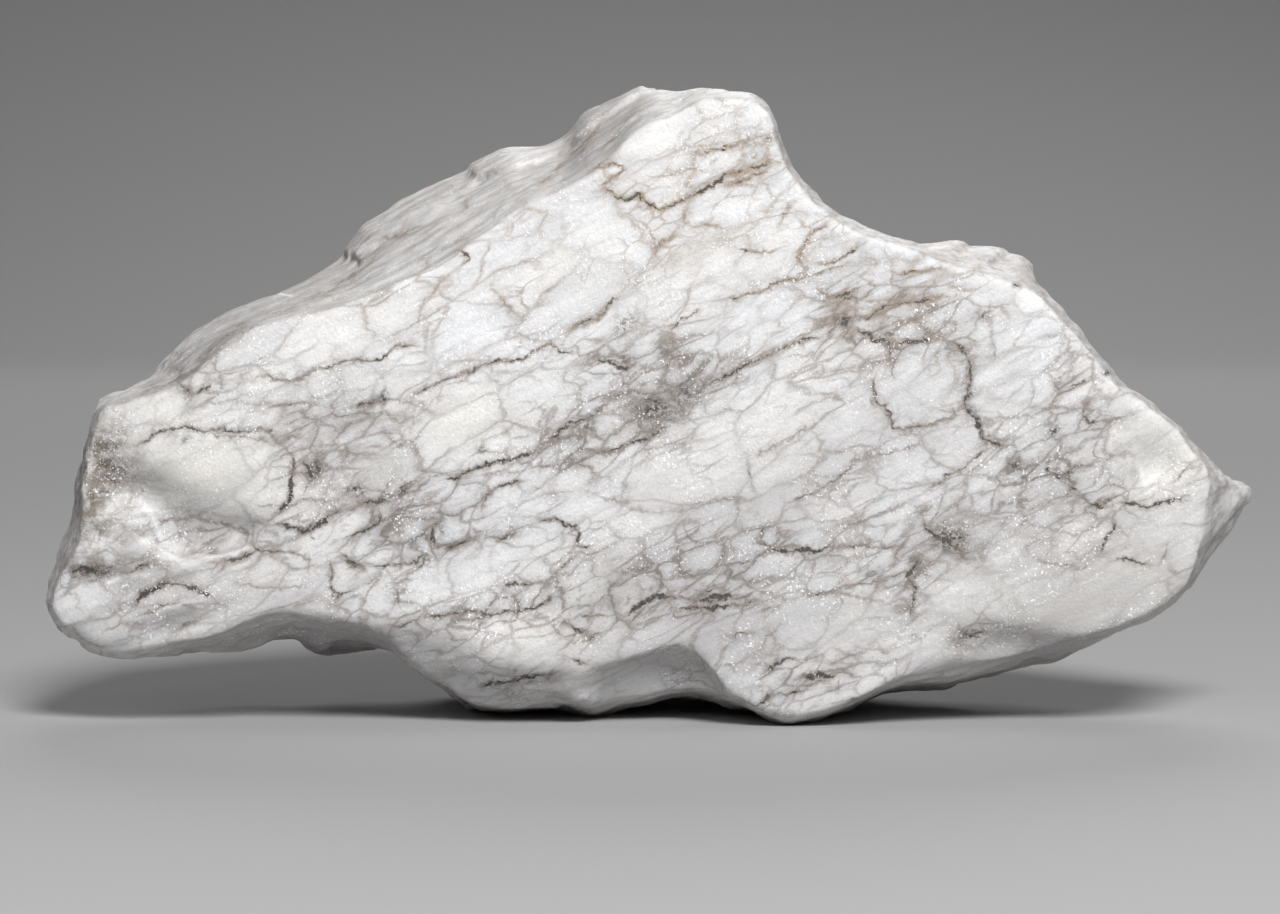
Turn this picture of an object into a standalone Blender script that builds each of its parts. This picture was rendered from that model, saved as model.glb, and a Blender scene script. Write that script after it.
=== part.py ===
"""Gypsum specimen: one natural block of massive, fine-grained gypsum (alabaster).

The block stands on its lower edge, with its flat pale face to the front (-Y). The origin is
on the surface that the block stands on, under the middle of the block. Lengths in the tables
are millimetres, and MM turns them into metres.
"""

import math

import bmesh
import bpy
import numpy as np
from mathutils import Matrix, Vector, noise

MM = 0.001

# Driving dimensions
THICKNESS = 60.0  # from the front face to the back
FRONT_Y = -30.1  # where the front face lies along Y
MIDDLE_X = -0.6  # where the middle of the outline table lies along X
RAISE = 1.05  # how far the block is raised before its feet are ground flat at z = 0
HEART = (0.0, 42.0)  # point inside the outline that every ring closes in on, as x and z

# The outline table was measured in a front view, taken from this far and this much above the
# level. A point behind the front face is really as much larger as its depth makes it look small.
VIEW_DISTANCE = 700.0
VIEW_RISE = math.radians(3.0)
VIEW_CENTRE = (-1.0, 38.6)  # point of the front face that the view is centred on, as x and z

# How the block is split: the layering climbs to the right, and grain and ledges follow it
LAYER_RISE = math.radians(27.0)

# Each row is one place on the rim, going round clockwise from the upper left corner: x and z of
# the front face's edge, x and z of the widest outline behind it, and that outline's depth.
RIM = (
    # upper left: a long ridged flank leans out behind the edge
    (-78.8, 45.5, -79.6, 46.5, 7),
    (-75.5, 46.8, -76.5, 48.1, 10),
    (-71.5, 47.9, -73.0, 50.0, 14),
    (-67.3, 49.6, -70.2, 52.2, 18),
    (-65.0, 51.4, -67.4, 55.2, 20),
    (-61.2, 54.9, -64.2, 57.3, 22),
    (-57.1, 57.3, -59.5, 59.8, 24),
    (-52.3, 58.8, -54.5, 61.9, 26),
    (-46.4, 60.2, -49.5, 64.2, 28),
    (-40.6, 62.0, -45.9, 66.3, 30),
    (-37.0, 63.5, -42.9, 69.4, 32),
    (-32.2, 65.4, -40.6, 72.5, 33),
    (-28.7, 67.6, -37.4, 74.9, 34),
    (-26.2, 69.2, -34.0, 77.0, 35),
    (-23.9, 70.7, -28.7, 79.1, 35),
    (-21.0, 72.8, -23.9, 81.6, 35),
    (-17.5, 75.3, -20.0, 83.3, 34),
    (-14.0, 76.9, -15.7, 83.6, 33),
    (-11.0, 78.3, -11.6, 85.1, 32),
    (-7.4, 80.4, -9.1, 88.4, 31),
    (-5.0, 82.3, -6.2, 89.7, 30),
    (-3.0, 84.7, -2.6, 91.3, 28),
    (0.5, 87.0, 0.3, 92.0, 26),
    (4.5, 88.4, 4.5, 91.7, 22),
    (8.0, 90.5, 9.0, 91.8, 16),
    # the summit and the long hollow to its right, where the side stands square to the face
    (12.0, 90.8, 12.5, 91.5, 10),
    (15.3, 90.2, 15.7, 91.0, 8),
    (17.2, 88.7, 17.8, 89.3, 8),
    (18.3, 86.3, 19.0, 86.6, 8),
    (19.3, 83.0, 20.1, 83.2, 8),
    (21.0, 79.4, 21.7, 79.9, 8),
    (23.5, 76.2, 24.2, 76.8, 8),
    (27.0, 73.3, 27.5, 74.0, 8),
    (31.5, 71.0, 31.8, 71.8, 10),
    (36.0, 69.6, 36.3, 70.2, 12),
    # the shoulder, where a second surface shows behind the edge
    (39.5, 68.3, 40.5, 69.5, 18),
    (43.5, 66.7, 45.0, 69.6, 24),
    (48.5, 65.4, 49.5, 69.1, 26),
    (53.0, 63.9, 53.6, 67.8, 26),
    (56.3, 62.4, 56.4, 64.4, 22),
    (58.8, 60.0, 59.4, 60.8, 14),
    (64.5, 53.5, 65.0, 54.1, 8),
    (68.0, 49.2, 68.6, 49.8, 8),
    (72.0, 46.5, 72.5, 47.0, 8),
    (76.3, 43.0, 76.7, 43.5, 9),
    (79.3, 39.6, 80.0, 40.2, 10),
    # the spur behind the right end
    (80.8, 37.6, 82.3, 37.7, 15),
    (81.3, 35.6, 84.9, 34.9, 18),
    (81.3, 33.4, 87.4, 34.2, 20),
    (81.0, 31.0, 86.9, 31.8, 20),
    (80.8, 28.6, 85.6, 28.8, 19),
    (80.2, 25.8, 83.3, 26.2, 18),
    (79.4, 22.8, 80.8, 23.3, 16),
    (78.2, 20.2, 79.3, 20.3, 15),
    (76.0, 17.8, 77.0, 17.4, 14),
    # lower right: the face rolls under
    (73.0, 15.7, 73.5, 14.9, 14),
    (69.0, 14.2, 69.0, 12.9, 18),
    (64.0, 12.6, 64.0, 11.2, 22),
    (59.0, 11.0, 59.5, 9.3, 24),
    (54.0, 9.8, 55.0, 8.4, 26),
    (49.5, 8.6, 50.5, 7.0, 28),
    (43.0, 7.2, 43.5, 5.1, 30),
    (36.5, 6.0, 37.0, 4.6, 30),
    (32.0, 4.2, 32.5, 3.1, 26),
    (28.0, 2.4, 28.5, 1.3, 18),
    # the right foot
    (24.0, 1.4, 24.0, 0.4, 12),
    (20.5, 0.9, 20.5, -0.2, 8),
    (17.0, 1.7, 17.0, 0.5, 12),
    # the hollow under the middle, with a sliver of the underside below it
    (14.5, 3.0, 14.5, 1.4, 28),
    (11.5, 4.2, 12.0, 1.5, 34),
    (8.0, 5.0, 8.5, 3.2, 34),
    (4.5, 4.9, 5.0, 3.9, 30),
    (0.5, 4.1, 0.5, 3.0, 26),
    (-4.0, 3.5, -4.0, 1.9, 24),
    (-8.0, 2.8, -7.8, 0.6, 22),
    (-12.0, 2.9, -12.0, 1.6, 24),
    # the rounded lump that hangs lowest on the left of the middle
    (-16.5, 2.6, -16.5, 1.8, 26),
    (-21.0, 2.3, -21.0, 1.5, 26),
    (-25.0, 2.9, -25.5, 1.9, 24),
    (-28.5, 5.0, -29.2, 4.6, 20),
    (-32.0, 7.2, -32.7, 6.8, 18),
    (-35.3, 9.9, -36.0, 9.6, 20),
    # the arch under the left part, whose roof is seen from below
    (-38.3, 12.6, -38.3, 10.5, 32),
    (-42.0, 14.2, -42.5, 10.3, 35),
    (-46.5, 14.8, -47.7, 10.2, 35),
    (-50.0, 15.4, -50.3, 11.9, 30),
    (-54.0, 15.6, -53.5, 11.9, 26),
    (-57.5, 14.8, -57.5, 10.8, 22),
    (-60.8, 13.2, -62.0, 10.2, 20),
    (-65.0, 11.9, -67.0, 9.9, 18),
    (-70.0, 10.9, -72.0, 9.6, 14),
    # the left end
    (-75.5, 9.9, -76.3, 9.0, 10),
    (-79.5, 10.9, -80.0, 9.9, 8),
    (-83.0, 12.7, -83.6, 12.1, 8),
    (-85.6, 14.8, -86.4, 14.5, 8),
    (-86.2, 17.4, -87.2, 17.8, 9),
    (-85.3, 20.4, -86.5, 21.0, 12),
    (-83.6, 23.2, -85.2, 24.6, 14),
    (-82.3, 27.0, -84.0, 28.4, 16),
    (-81.9, 31.5, -83.0, 32.4, 14),
    (-81.9, 35.0, -82.9, 35.0, 10),
    (-81.2, 38.5, -81.9, 38.6, 8),
    (-80.0, 42.5, -80.7, 42.8, 6),
)
STEPS_PER_ROW = 4  # points of a ring for each row of the table
FRONT_RINGS = 66
SIDE_RINGS = 18
BACK_RINGS = 30
EDGE_ROUND = 0.3  # how far the front edge is worn back
EDGE_BAND = 0.02  # share of the way in from the edge over which it is worn
BACK_DEPTH = 57.0  # depth of the back's rim, and the back bulges from there to THICKNESS
BACK_INSET_TOP = 17.0  # how far the back's rim lies inside the widest outline, along the top
BACK_INSET_FOOT = 2.0  # and along the foot, where the block needs its base
UNDERSIDE = (-0.2, 0.9)  # how far up the way in points, from the top's inset to the foot's
LEAST_SIDE = 3.0  # least distance from the front edge back to the widest outline
SIDE_BULGE = 1.15  # how much the side swells between the front edge and the widest outline
BACK_BULGE = 2.2  # and between there and the back's rim

# Where the front face bends back towards its borders: along x or z, where the bend begins, the
# length that it is measured by, and how deep it is after that length
BENDS = (
    ("z", 62.0, 30.0, 1.4),
    ("z", 46.0, -46.0, 2.0),
    ("x", 48.0, 34.0, 1.8),
    ("x", -58.0, -28.0, 2.4),
)
# The face rolls under along the middle of the foot: how deep, from which height down, and where
# the roll fades in and out along x
ROLL_DEPTH = 2.6
ROLL_TOP = 9.0
ROLL_IN = (-40.0, -30.0)
ROLL_OUT = (18.0, 6.0)

# Soft hollows of the front face: x, z, half length, half width, rise of the long axis in
# degrees, and depth. A negative depth is a swelling.
HOLLOWS = (
    (-70.5, 31.6, 8.5, 3.2, -26, 1.8),  # scoop under the cream lobe at the left
    (-74.0, 34.0, 6.5, 3.0, -35, 1.2),  # its shallow tail, up and to the left
    (-65.0, 37.5, 11.0, 5.0, -10, -1.3),  # the cream lobe itself
    (-66.0, 22.4, 10.0, 1.8, -4, -0.5),  # the wrinkled ridge below it
    (-71.0, 18.6, 7.5, 1.5, 24, 1.0),  # grooves between the lower left ridges
    (-67.0, 14.0, 7.0, 1.3, 14, 0.8),
    (-69.5, 16.4, 7.0, 1.4, 20, -0.9),
    (-80.0, 20.6, 5.0, 1.6, 14, 0.9),
    (-20.0, 10.0, 10.0, 4.4, 6, -2.0),  # the lump below the middle
    (3.5, 8.0, 6.5, 2.6, 4, 0.8),  # the dent under the middle
    (54.0, 10.6, 9.0, 2.7, -2, 3.4),  # dent in the lower right
    (45.0, 7.6, 7.0, 1.8, 12, 0.6),
    (20.0, 6.0, 8.0, 4.0, 20, -0.8),
    (74.8, 36.8, 3.6, 3.0, 40, 0.9),  # shallow chip at the right
    (60.0, 30.0, 16.0, 9.0, 20, 0.7),
    (-48.0, 50.0, 20.0, 5.0, 18, -0.7),
    (12.0, 34.0, 22.0, 9.0, 27, -0.6),
    (30.0, 62.0, 14.0, 5.0, 20, 0.8),
    (-4.0, 46.0, 8.0, 4.0, 27, 0.5),
)

# Low scarps: how far the surface drops, over how long it recovers, the width of the wall, and
# the line of the edge as x and z. The ground drops on the right of the line's direction.
SCARPS = (
    # the roof of the dent under the middle
    (1.6, 7.0, 1.6, ((-9.0, 8.0), (-3.0, 9.5), (1.0, 10.4), (4.5, 11.5), (7.0, 10.5), (9.0, 8.4),
                     (11.0, 6.0), (13.5, 3.4))),
    # the under edge of the lump, which runs into that roof
    (1.6, 9.0, 1.5, ((-25.0, 2.4), (-19.0, 2.7), (-14.2, 3.6), (-12.0, 5.0), (-10.4, 6.8), (-9.0, 8.0))),
    # a crack across the lump
    (0.6, 2.4, 0.8, ((-29.0, 4.6), (-24.0, 5.4), (-18.0, 6.0), (-12.5, 7.4), (-9.5, 8.6))),
    # the lower rim of the cream lobe
    (0.6, 3.0, 1.0, ((-73.0, 31.5), (-68.5, 30.4), (-63.0, 30.5), (-59.0, 29.4), (-57.0, 27.2))),
    # the crease at the foot of the scoop, whose floor looks down
    (2.9, 5.0, 0.9, ((-54.8, 29.0), (-57.0, 26.2), (-60.5, 24.3), (-65.0, 23.6), (-70.0, 24.6),
                     (-74.0, 26.6))),
    # the step near the right end
    (0.9, 5.0, 0.9, ((73.2, 33.2), (71.6, 36.0), (71.2, 38.2), (70.2, 41.2))),
)
SCARP_END = 3.5  # length over which a scarp dies out at its ends

# Bevels, where the front face turns away for good: how steeply it falls back, how far the bend is
# rounded, and the line where it starts as x and z. It falls away on the right of its direction.
BEVELS = (
    # along the lower right
    (1.2, 0.6, ((33.0, 5.0), (36.0, 7.2), (39.0, 8.7), (43.0, 9.7), (49.0, 10.2), (54.0, 10.0),
                (60.0, 11.0))),
    # left of the lump, down to the outline
    (0.9, 2.0, ((-44.0, 15.8), (-36.0, 15.2), (-29.0, 14.2), (-24.2, 12.2), (-21.5, 9.8), (-17.0, 8.4),
                (-11.0, 9.0))),
    # the roof of the dent under the middle
    (1.15, 0.6, ((-10.5, 7.6), (-3.0, 9.5), (1.0, 10.4), (4.5, 11.5), (7.0, 10.5), (9.0, 8.4), (11.5, 5.4),
                (14.0, 1.0))),
    # under the left part
    (0.8, 1.0, ((-85.5, 16.5), (-80.0, 13.2), (-73.0, 12.4), (-66.0, 13.4), (-60.0, 15.2), (-54.0, 17.2),
                (-48.0, 16.8), (-41.0, 15.0))),
)

# Broken faces: the deepest point of each as x, depth and z, the way that it faces in the same
# order, and the radius of its hollow. A large radius is almost flat.
BREAKS = (
    ((-8.0, 58.5, 38.0), (-0.06, 1.0, 0.10), 900.0),  # the back
    ((-30.0, 49.0, 62.0), (-0.30, 0.80, 0.52), 260.0),  # the back of the upper left flank
    ((12.0, 42.0, 80.0), (0.12, 0.78, 0.62), 120.0),  # behind the summit
    ((46.0, 44.0, 54.0), (0.38, 0.86, 0.34), 170.0),  # behind the shoulder
    ((70.0, 38.0, 30.0), (0.66, 0.74, -0.08), 150.0),  # back of the right end
    ((-68.0, 41.0, 30.0), (-0.52, 0.84, 0.12), 190.0),  # back of the left end
    ((-74.0, 30.0, 12.0), (-0.46, 0.52, -0.72), 110.0),  # under the left end
    ((58.0, 42.0, 12.0), (0.30, 0.50, -0.81), 120.0),  # under the right end
    ((-46.0, 52.0, 20.0), (-0.22, 0.80, -0.56), 70.0),
    ((26.0, 53.0, 26.0), (0.10, 0.96, -0.26), 60.0),  # shallow shells on the back
    ((-2.0, 55.0, 60.0), (-0.10, 0.93, 0.36), 52.0),
    ((-50.0, 51.5, 44.0), (-0.30, 0.93, 0.20), 46.0),
    ((88.0, 30.0, 22.0), (0.86, 0.40, -0.30), 30.0),
    ((2.0, 42.0, 1.6), (0.0, 0.25, -0.97), 26.0),  # the arch between the feet
    ((-86.0, 24.0, 36.0), (-0.95, 0.30, 0.10), 60.0),
)

# Rough relief: its height, and its size along the layering, through the block and across it
RIDGE_HEIGHT = 0.75
STREAK_SIZE = (34.0, 5.5, 14.0)  # on surfaces that lie with the layering
BAND_SIZE = (20.0, 30.0, 5.0)  # on surfaces that cut across it
LEDGE_HEIGHT = 1.5
LEDGE_STEP = 8.5  # from ledge to ledge across the layering
LEDGE_WANDER = 1.3  # how many steps a ledge strays
LEDGE_SIZE = (46.0, 30.0, 22.0)
PIT_HEIGHT = 0.6
PIT_SIZE = 7.0
STREAKS_FROM = (0.35, 0.9)  # how closely a surface lies with the layering, from bands to streaks
LEDGE_WALL = (0.3, 0.95)  # part of a step over which the surface falls back, before it juts out again
FRONT_SHARE = 0.12  # share of the roughness that the flat front face has
FRONT_FACING = (0.55, 0.9)  # how squarely the front face looks forward, from rough to calm
FRONT_REACH = (20.0, 12.0)  # and how deep it reaches
OUTLINE_SHARE = 0.35  # share of it that the outline has, as it is seen from the front
OUTLINE_BAND = 0.3  # how far the surface turns from there until it has the rest
EDGE_CALM = 24.0  # how far behind the front face the sides reach their full roughness
SHRINK = 0.08  # evens out what remeshing adds

# Feet: x, depth, radius and how much lower the underside reaches there
FEET = (
    (20.5, 9.0, 8.0, 0.3),
    (-19.0, 47.0, 11.0, 1.9),
    (24.0, 45.0, 10.0, 1.9),
)
FOOT_REACH = (14.0, 7.0)  # heights between which the underside starts to be drawn down
FOOT_FACING = (0.1, -0.5)  # and how far down it looks there

VOXEL = 0.62
TRIANGLES = 8200

COLOUR = (0.79, 0.77, 0.73, 1.0)
ROUGHNESS = 0.55


def clear_scene():
    """Removes the objects that the file starts with."""
    for obj in list(bpy.data.objects):
        bpy.data.objects.remove(obj, do_unlink=True)


def smoothstep(low, high, value):
    t = np.clip((value - low) / (high - low), 0.0, 1.0)
    return t * t * (3.0 - 2.0 * t)


def smooth_loop(rows, steps):
    """Points on one smooth closed curve through the rows."""
    rows = np.asarray(rows, float)
    before, after, far = (np.roll(rows, shift, axis=0) for shift in (1, -1, -2))
    parts = []
    for step in range(steps):
        t = step / steps
        parts.append(
            0.5 * (
                2.0 * rows
                + (after - before) * t
                + (2.0 * before - 5.0 * rows + 4.0 * after - far) * t**2
                + (3.0 * rows - before - 3.0 * after + far) * t**3
            )
        )
    return np.stack(parts, axis=1).reshape(-1, rows.shape[1])


def from_view(x, z, depth):
    """Real x, depth and z of points that the front view shows at x and z."""
    level = VIEW_DISTANCE * math.cos(VIEW_RISE)
    eye_z = VIEW_CENTRE[1] + VIEW_DISTANCE * math.sin(VIEW_RISE)
    grow = 1.0 + depth / level
    return np.stack(
        (VIEW_CENTRE[0] + (x - VIEW_CENTRE[0]) * grow, depth + 0.0 * x, eye_z + (z - eye_z) * grow),
        axis=-1,
    )


def beside(line, x, z):
    """How far x and z lie to the right of a line, and how far in from its nearer end."""
    line = np.asarray(line, float)
    nearest = np.full(x.shape, np.inf)
    side = np.zeros(x.shape)
    along = np.zeros(x.shape)
    lengths = np.hypot(*(line[1:] - line[:-1]).T)
    passed = np.concatenate(([0.0], np.cumsum(lengths)))
    for start, end, length, begin in zip(line[:-1], line[1:], lengths, passed):
        way = (end - start) / length
        off_x, off_z = x - start[0], z - start[1]
        run = np.clip(off_x * way[0] + off_z * way[1], 0.0, length)
        gap = np.hypot(off_x - run * way[0], off_z - run * way[1])
        closer = gap < nearest
        right = np.sign(off_x * way[1] - off_z * way[0])
        nearest = np.where(closer, gap, nearest)
        side = np.where(closer, right, side)
        along = np.where(closer, begin + run, along)
    return side * nearest, np.minimum(along, passed[-1] - along)


def face_depth(x, z):
    """Depth of the front face's surface: a slight bow, its hollows and its scarps."""
    depth = ROLL_DEPTH * smoothstep(ROLL_TOP, 0.0, z) * smoothstep(*ROLL_IN, x) * smoothstep(*ROLL_OUT, x)
    for axis, begin, length, deep in BENDS:
        depth += deep * np.clip(((x if axis == "x" else z) - begin) / length, 0.0, None) ** 2
    for at_x, at_z, length, width, rise, deep in HOLLOWS:
        c, s = math.cos(math.radians(rise)), math.sin(math.radians(rise))
        u = ((x - at_x) * c + (z - at_z) * s) / length
        v = ((z - at_z) * c - (x - at_x) * s) / width
        depth += deep * np.exp(-(u * u + v * v))
    for drop, run, wall, line in SCARPS:
        across, end = beside(line, x, z)
        fall = smoothstep(0.0, wall, across) * np.exp(-((np.clip(across, 0.0, None) / run) ** 2))
        depth += drop * fall * smoothstep(0.0, SCARP_END, end)
    for steep, bend, line in BEVELS:
        across, end = beside(line, x, z)
        fall = np.hypot(np.clip(across, 0.0, None), bend) - bend
        depth += steep * fall * smoothstep(0.0, SCARP_END, end)
    return depth


def rings():
    """Rings of points from the middle of the front to the middle of the back."""
    rim = smooth_loop(RIM, STEPS_PER_ROW)
    edge_x, edge_z, wide_x, wide_z, wide_depth = rim.T
    made = []
    for share in np.linspace(0.0, 1.0, FRONT_RINGS + 1)[1:]:
        x = HEART[0] + (edge_x - HEART[0]) * share
        z = HEART[1] + (edge_z - HEART[1]) * share
        worn = EDGE_ROUND * np.clip((share - 1.0 + EDGE_BAND) / EDGE_BAND, 0.0, 1.0) ** 2
        made.append(from_view(x, z, face_depth(x, z) + worn))
    edge = made[-1]
    wide = from_view(wide_x, wide_z, np.maximum(wide_depth, edge[:, 1] + LEAST_SIDE))
    for share in np.linspace(0.0, 1.0, SIDE_RINGS + 1)[1:]:
        out = 1.0 - (1.0 - share) ** SIDE_BULGE
        made.append(edge + (wide - edge) * np.array([out, share, out]))
    inward = np.stack((HEART[0] - wide[:, 0], HEART[1] - wide[:, 2]), axis=-1)
    inward /= np.linalg.norm(inward, axis=1, keepdims=True)
    under = smoothstep(*UNDERSIDE, inward[:, 1])
    inset = BACK_INSET_TOP + (BACK_INSET_FOOT - BACK_INSET_TOP) * under
    for share in np.linspace(0.0, 1.0, SIDE_RINGS + 1)[1:]:
        pull = (inset * share**BACK_BULGE)[:, None] * inward
        depth = wide[:, 1] + (BACK_DEPTH - wide[:, 1]) * share
        made.append(np.stack((wide[:, 0] + pull[:, 0], depth, wide[:, 2] + pull[:, 1]), axis=-1))
    back = made[-1]
    for share in np.linspace(1.0, 0.0, BACK_RINGS + 1)[1:-1]:
        x = HEART[0] + (back[:, 0] - HEART[0]) * share
        z = HEART[1] + (back[:, 2] - HEART[1]) * share
        depth = THICKNESS + (BACK_DEPTH - THICKNESS) * share**2
        made.append(np.stack((x, depth + 0.0 * x, z), axis=-1))
    return made


def loft(made):
    """A closed mesh over the rings, with a fan of faces at either end."""
    mesh = bpy.data.meshes.new("blank")
    bm = bmesh.new()
    loops = [[bm.verts.new(Vector(point) * MM) for point in ring] for ring in made]
    count = len(loops[0])
    for near, far in zip(loops[:-1], loops[1:]):
        for i in range(count):
            j = (i + 1) % count
            bm.faces.new((near[i], near[j], far[j], far[i]))
    for loop, depth in ((loops[0], face_depth(*np.array(HEART))), (loops[-1], THICKNESS)):
        pole = bm.verts.new(Vector((HEART[0], float(depth), HEART[1])) * MM)
        for i in range(count):
            bm.faces.new((loop[i], loop[(i + 1) % count], pole))
    bmesh.ops.recalc_face_normals(bm, faces=bm.faces)
    bm.to_mesh(mesh)
    bm.free()
    return mesh


def with_modifier(mesh, kind, **settings):
    """The mesh as one modifier leaves it."""
    obj = bpy.data.objects.new("worked", mesh)
    bpy.context.scene.collection.objects.link(obj)
    modifier = obj.modifiers.new(kind.title(), kind)
    for name, value in settings.items():
        setattr(modifier, name, value)
    graph = bpy.context.evaluated_depsgraph_get()
    made = bpy.data.meshes.new_from_object(obj.evaluated_get(graph))
    bpy.data.objects.remove(obj, do_unlink=True)
    bpy.data.meshes.remove(mesh)
    return made


def points_of(mesh):
    """Points of a mesh in millimetres."""
    points = np.empty(len(mesh.vertices) * 3, np.float32)
    mesh.vertices.foreach_get("co", points)
    return points.reshape(-1, 3).astype(float) / MM


def normals_of(mesh):
    normals = np.empty(len(mesh.vertices) * 3, np.float32)
    mesh.vertices.foreach_get("normal", normals)
    return normals.reshape(-1, 3).astype(float)


def move_points(mesh, points):
    mesh.vertices.foreach_set("co", (points * MM).astype(np.float32).ravel())
    mesh.update()


def break_faces(points):
    """Breaks the block back to each of the hollow faces in BREAKS."""
    for deepest, facing, radius in BREAKS:
        facing = np.array(facing) / np.linalg.norm(facing)
        centre = np.array(deepest) + facing * radius
        away = points - centre
        distance = np.linalg.norm(away, axis=1, keepdims=True)
        points = np.where(distance < radius, centre + away / distance * radius, points)
    return points


def along_layers(points, size):
    """The points in the layering's own directions, as multiples of a size along each."""
    c, s = math.cos(LAYER_RISE), math.sin(LAYER_RISE)
    x, depth, z = points.T
    return np.stack(((x * c + z * s) / size[0], depth / size[1], (z * c - x * s) / size[2]), axis=-1)


def noise_at(places, octaves):
    """Smooth noise between about -1 and 1, the same on every run."""
    return np.array([noise.fractal(Vector(p), 1.0, 2.1, octaves) for p in places])


def roughen(mesh):
    """Raises ridges, ledges and pits on the broken sides, and a little on the front face."""
    points, normals = points_of(mesh), normals_of(mesh)
    flat = smoothstep(*FRONT_FACING, -normals[:, 1]) * smoothstep(*FRONT_REACH, points[:, 1])
    outline = np.exp(-((normals[:, 1] / OUTLINE_BAND) ** 2))
    share = 1.0 + (FRONT_SHARE - 1.0) * flat + (OUTLINE_SHARE - 1.0) * outline
    share *= FRONT_SHARE + (1.0 - FRONT_SHARE) * smoothstep(0.0, EDGE_CALM, points[:, 1])
    c, s = math.cos(LAYER_RISE), math.sin(LAYER_RISE)
    along = smoothstep(*STREAKS_FROM, np.abs(normals[:, 2] * c - normals[:, 0] * s))
    ridge = along * noise_at(along_layers(points, STREAK_SIZE), 3)
    ridge += (1.0 - along) * noise_at(along_layers(points, BAND_SIZE), 3)
    level = points[:, 2] * c - points[:, 0] * s
    climb = level / LEDGE_STEP + LEDGE_WANDER * noise_at(along_layers(points, LEDGE_SIZE), 2)
    ledge = smoothstep(*LEDGE_WALL, climb - np.floor(climb))
    pit = noise_at(points / PIT_SIZE, 3)
    rise = RIDGE_HEIGHT * ridge + PIT_HEIGHT * pit + LEDGE_HEIGHT * (0.5 - ledge) * (1.0 - flat)
    move_points(mesh, points + normals * (rise * share - SHRINK)[:, None])


def draw_down_feet(mesh):
    """Lowers the underside at each foot, so that the block stands on them."""
    points, normals = points_of(mesh), normals_of(mesh)
    below = smoothstep(*FOOT_FACING, normals[:, 2]) * smoothstep(*FOOT_REACH, points[:, 2])
    for at_x, at_depth, radius, drop in FEET:
        near = np.hypot(points[:, 0] - at_x, points[:, 1] - at_depth) / radius
        points[:, 2] -= drop * below * np.exp(-(near**4))
    move_points(mesh, points)


def stand(mesh):
    """Moves the block to its place over the origin, and grinds its feet flat at z = 0."""
    mesh.transform(Matrix.Translation(Vector((MIDDLE_X, FRONT_Y, RAISE)) * MM))
    bm = bmesh.new()
    bm.from_mesh(mesh)
    everything = bm.verts[:] + bm.edges[:] + bm.faces[:]
    bmesh.ops.bisect_plane(
        bm, geom=everything, dist=1e-7, plane_co=(0, 0, 0), plane_no=(0, 0, -1), clear_outer=True
    )
    keep_largest(bm)
    bmesh.ops.holes_fill(bm, edges=[edge for edge in bm.edges if edge.is_boundary], sides=0)
    bmesh.ops.recalc_face_normals(bm, faces=bm.faces)
    bm.to_mesh(mesh)
    bm.free()


def keep_largest(bm):
    """Drops the crumbs that the cut leaves beside the block."""
    left = set(bm.verts)
    pieces = []
    while left:
        piece = [left.pop()]
        for vert in piece:
            for edge in vert.link_edges:
                other = edge.other_vert(vert)
                if other in left:
                    left.remove(other)
                    piece.append(other)
        pieces.append(piece)
    pieces.sort(key=len)
    bmesh.ops.delete(bm, geom=[vert for piece in pieces[:-1] for vert in piece], context="VERTS")


def gypsum():
    """Pale, faintly warm and half matt."""
    material = bpy.data.materials.new("gypsum")
    material.use_nodes = True
    shader = material.node_tree.nodes["Principled BSDF"]
    shader.inputs["Base Color"].default_value = COLOUR
    shader.inputs["Roughness"].default_value = ROUGHNESS
    shader.inputs["Metallic"].default_value = 0.0
    material.diffuse_color = COLOUR
    return material


def make_block():
    mesh = with_modifier(loft(rings()), "REMESH", mode="VOXEL", voxel_size=VOXEL * MM)
    move_points(mesh, break_faces(points_of(mesh)))
    mesh = with_modifier(mesh, "REMESH", mode="VOXEL", voxel_size=VOXEL * MM)
    roughen(mesh)
    draw_down_feet(mesh)
    mesh = with_modifier(mesh, "REMESH", mode="VOXEL", voxel_size=VOXEL * MM)
    mesh = with_modifier(mesh, "DECIMATE", ratio=TRIANGLES / (2 * len(mesh.polygons)))
    stand(mesh)
    mesh.name = "alabaster_block"
    mesh.materials.append(gypsum())
    block = bpy.data.objects.new("alabaster_block", mesh)
    collection = bpy.data.collections.new("gypsum_specimen")
    bpy.context.scene.collection.children.link(collection)
    collection.objects.link(block)
    return block


def main():
    clear_scene()
    make_block()


main()
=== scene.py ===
"""Visual model of the gypsum specimen: the frame's block with finer relief, and with the veins,
stains and grain of its pale face.

The tables of the block's shape are those of the part's source. Lengths are millimetres, and MM
turns them into metres.
"""
import math

import bmesh
import bpy
import numpy as np
from mathutils import Matrix, Vector, noise


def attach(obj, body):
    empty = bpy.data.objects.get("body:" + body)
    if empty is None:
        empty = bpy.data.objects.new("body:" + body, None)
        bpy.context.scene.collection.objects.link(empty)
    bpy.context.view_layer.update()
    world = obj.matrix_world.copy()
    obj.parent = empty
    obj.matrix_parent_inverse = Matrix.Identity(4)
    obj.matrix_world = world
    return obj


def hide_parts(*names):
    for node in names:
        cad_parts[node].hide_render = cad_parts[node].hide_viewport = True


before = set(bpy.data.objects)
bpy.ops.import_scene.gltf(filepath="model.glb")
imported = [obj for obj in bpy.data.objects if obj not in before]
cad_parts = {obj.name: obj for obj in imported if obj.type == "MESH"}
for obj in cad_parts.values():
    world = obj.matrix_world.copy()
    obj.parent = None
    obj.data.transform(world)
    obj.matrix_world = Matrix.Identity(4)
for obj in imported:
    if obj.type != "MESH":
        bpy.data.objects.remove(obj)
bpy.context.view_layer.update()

MM = 0.001

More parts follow.
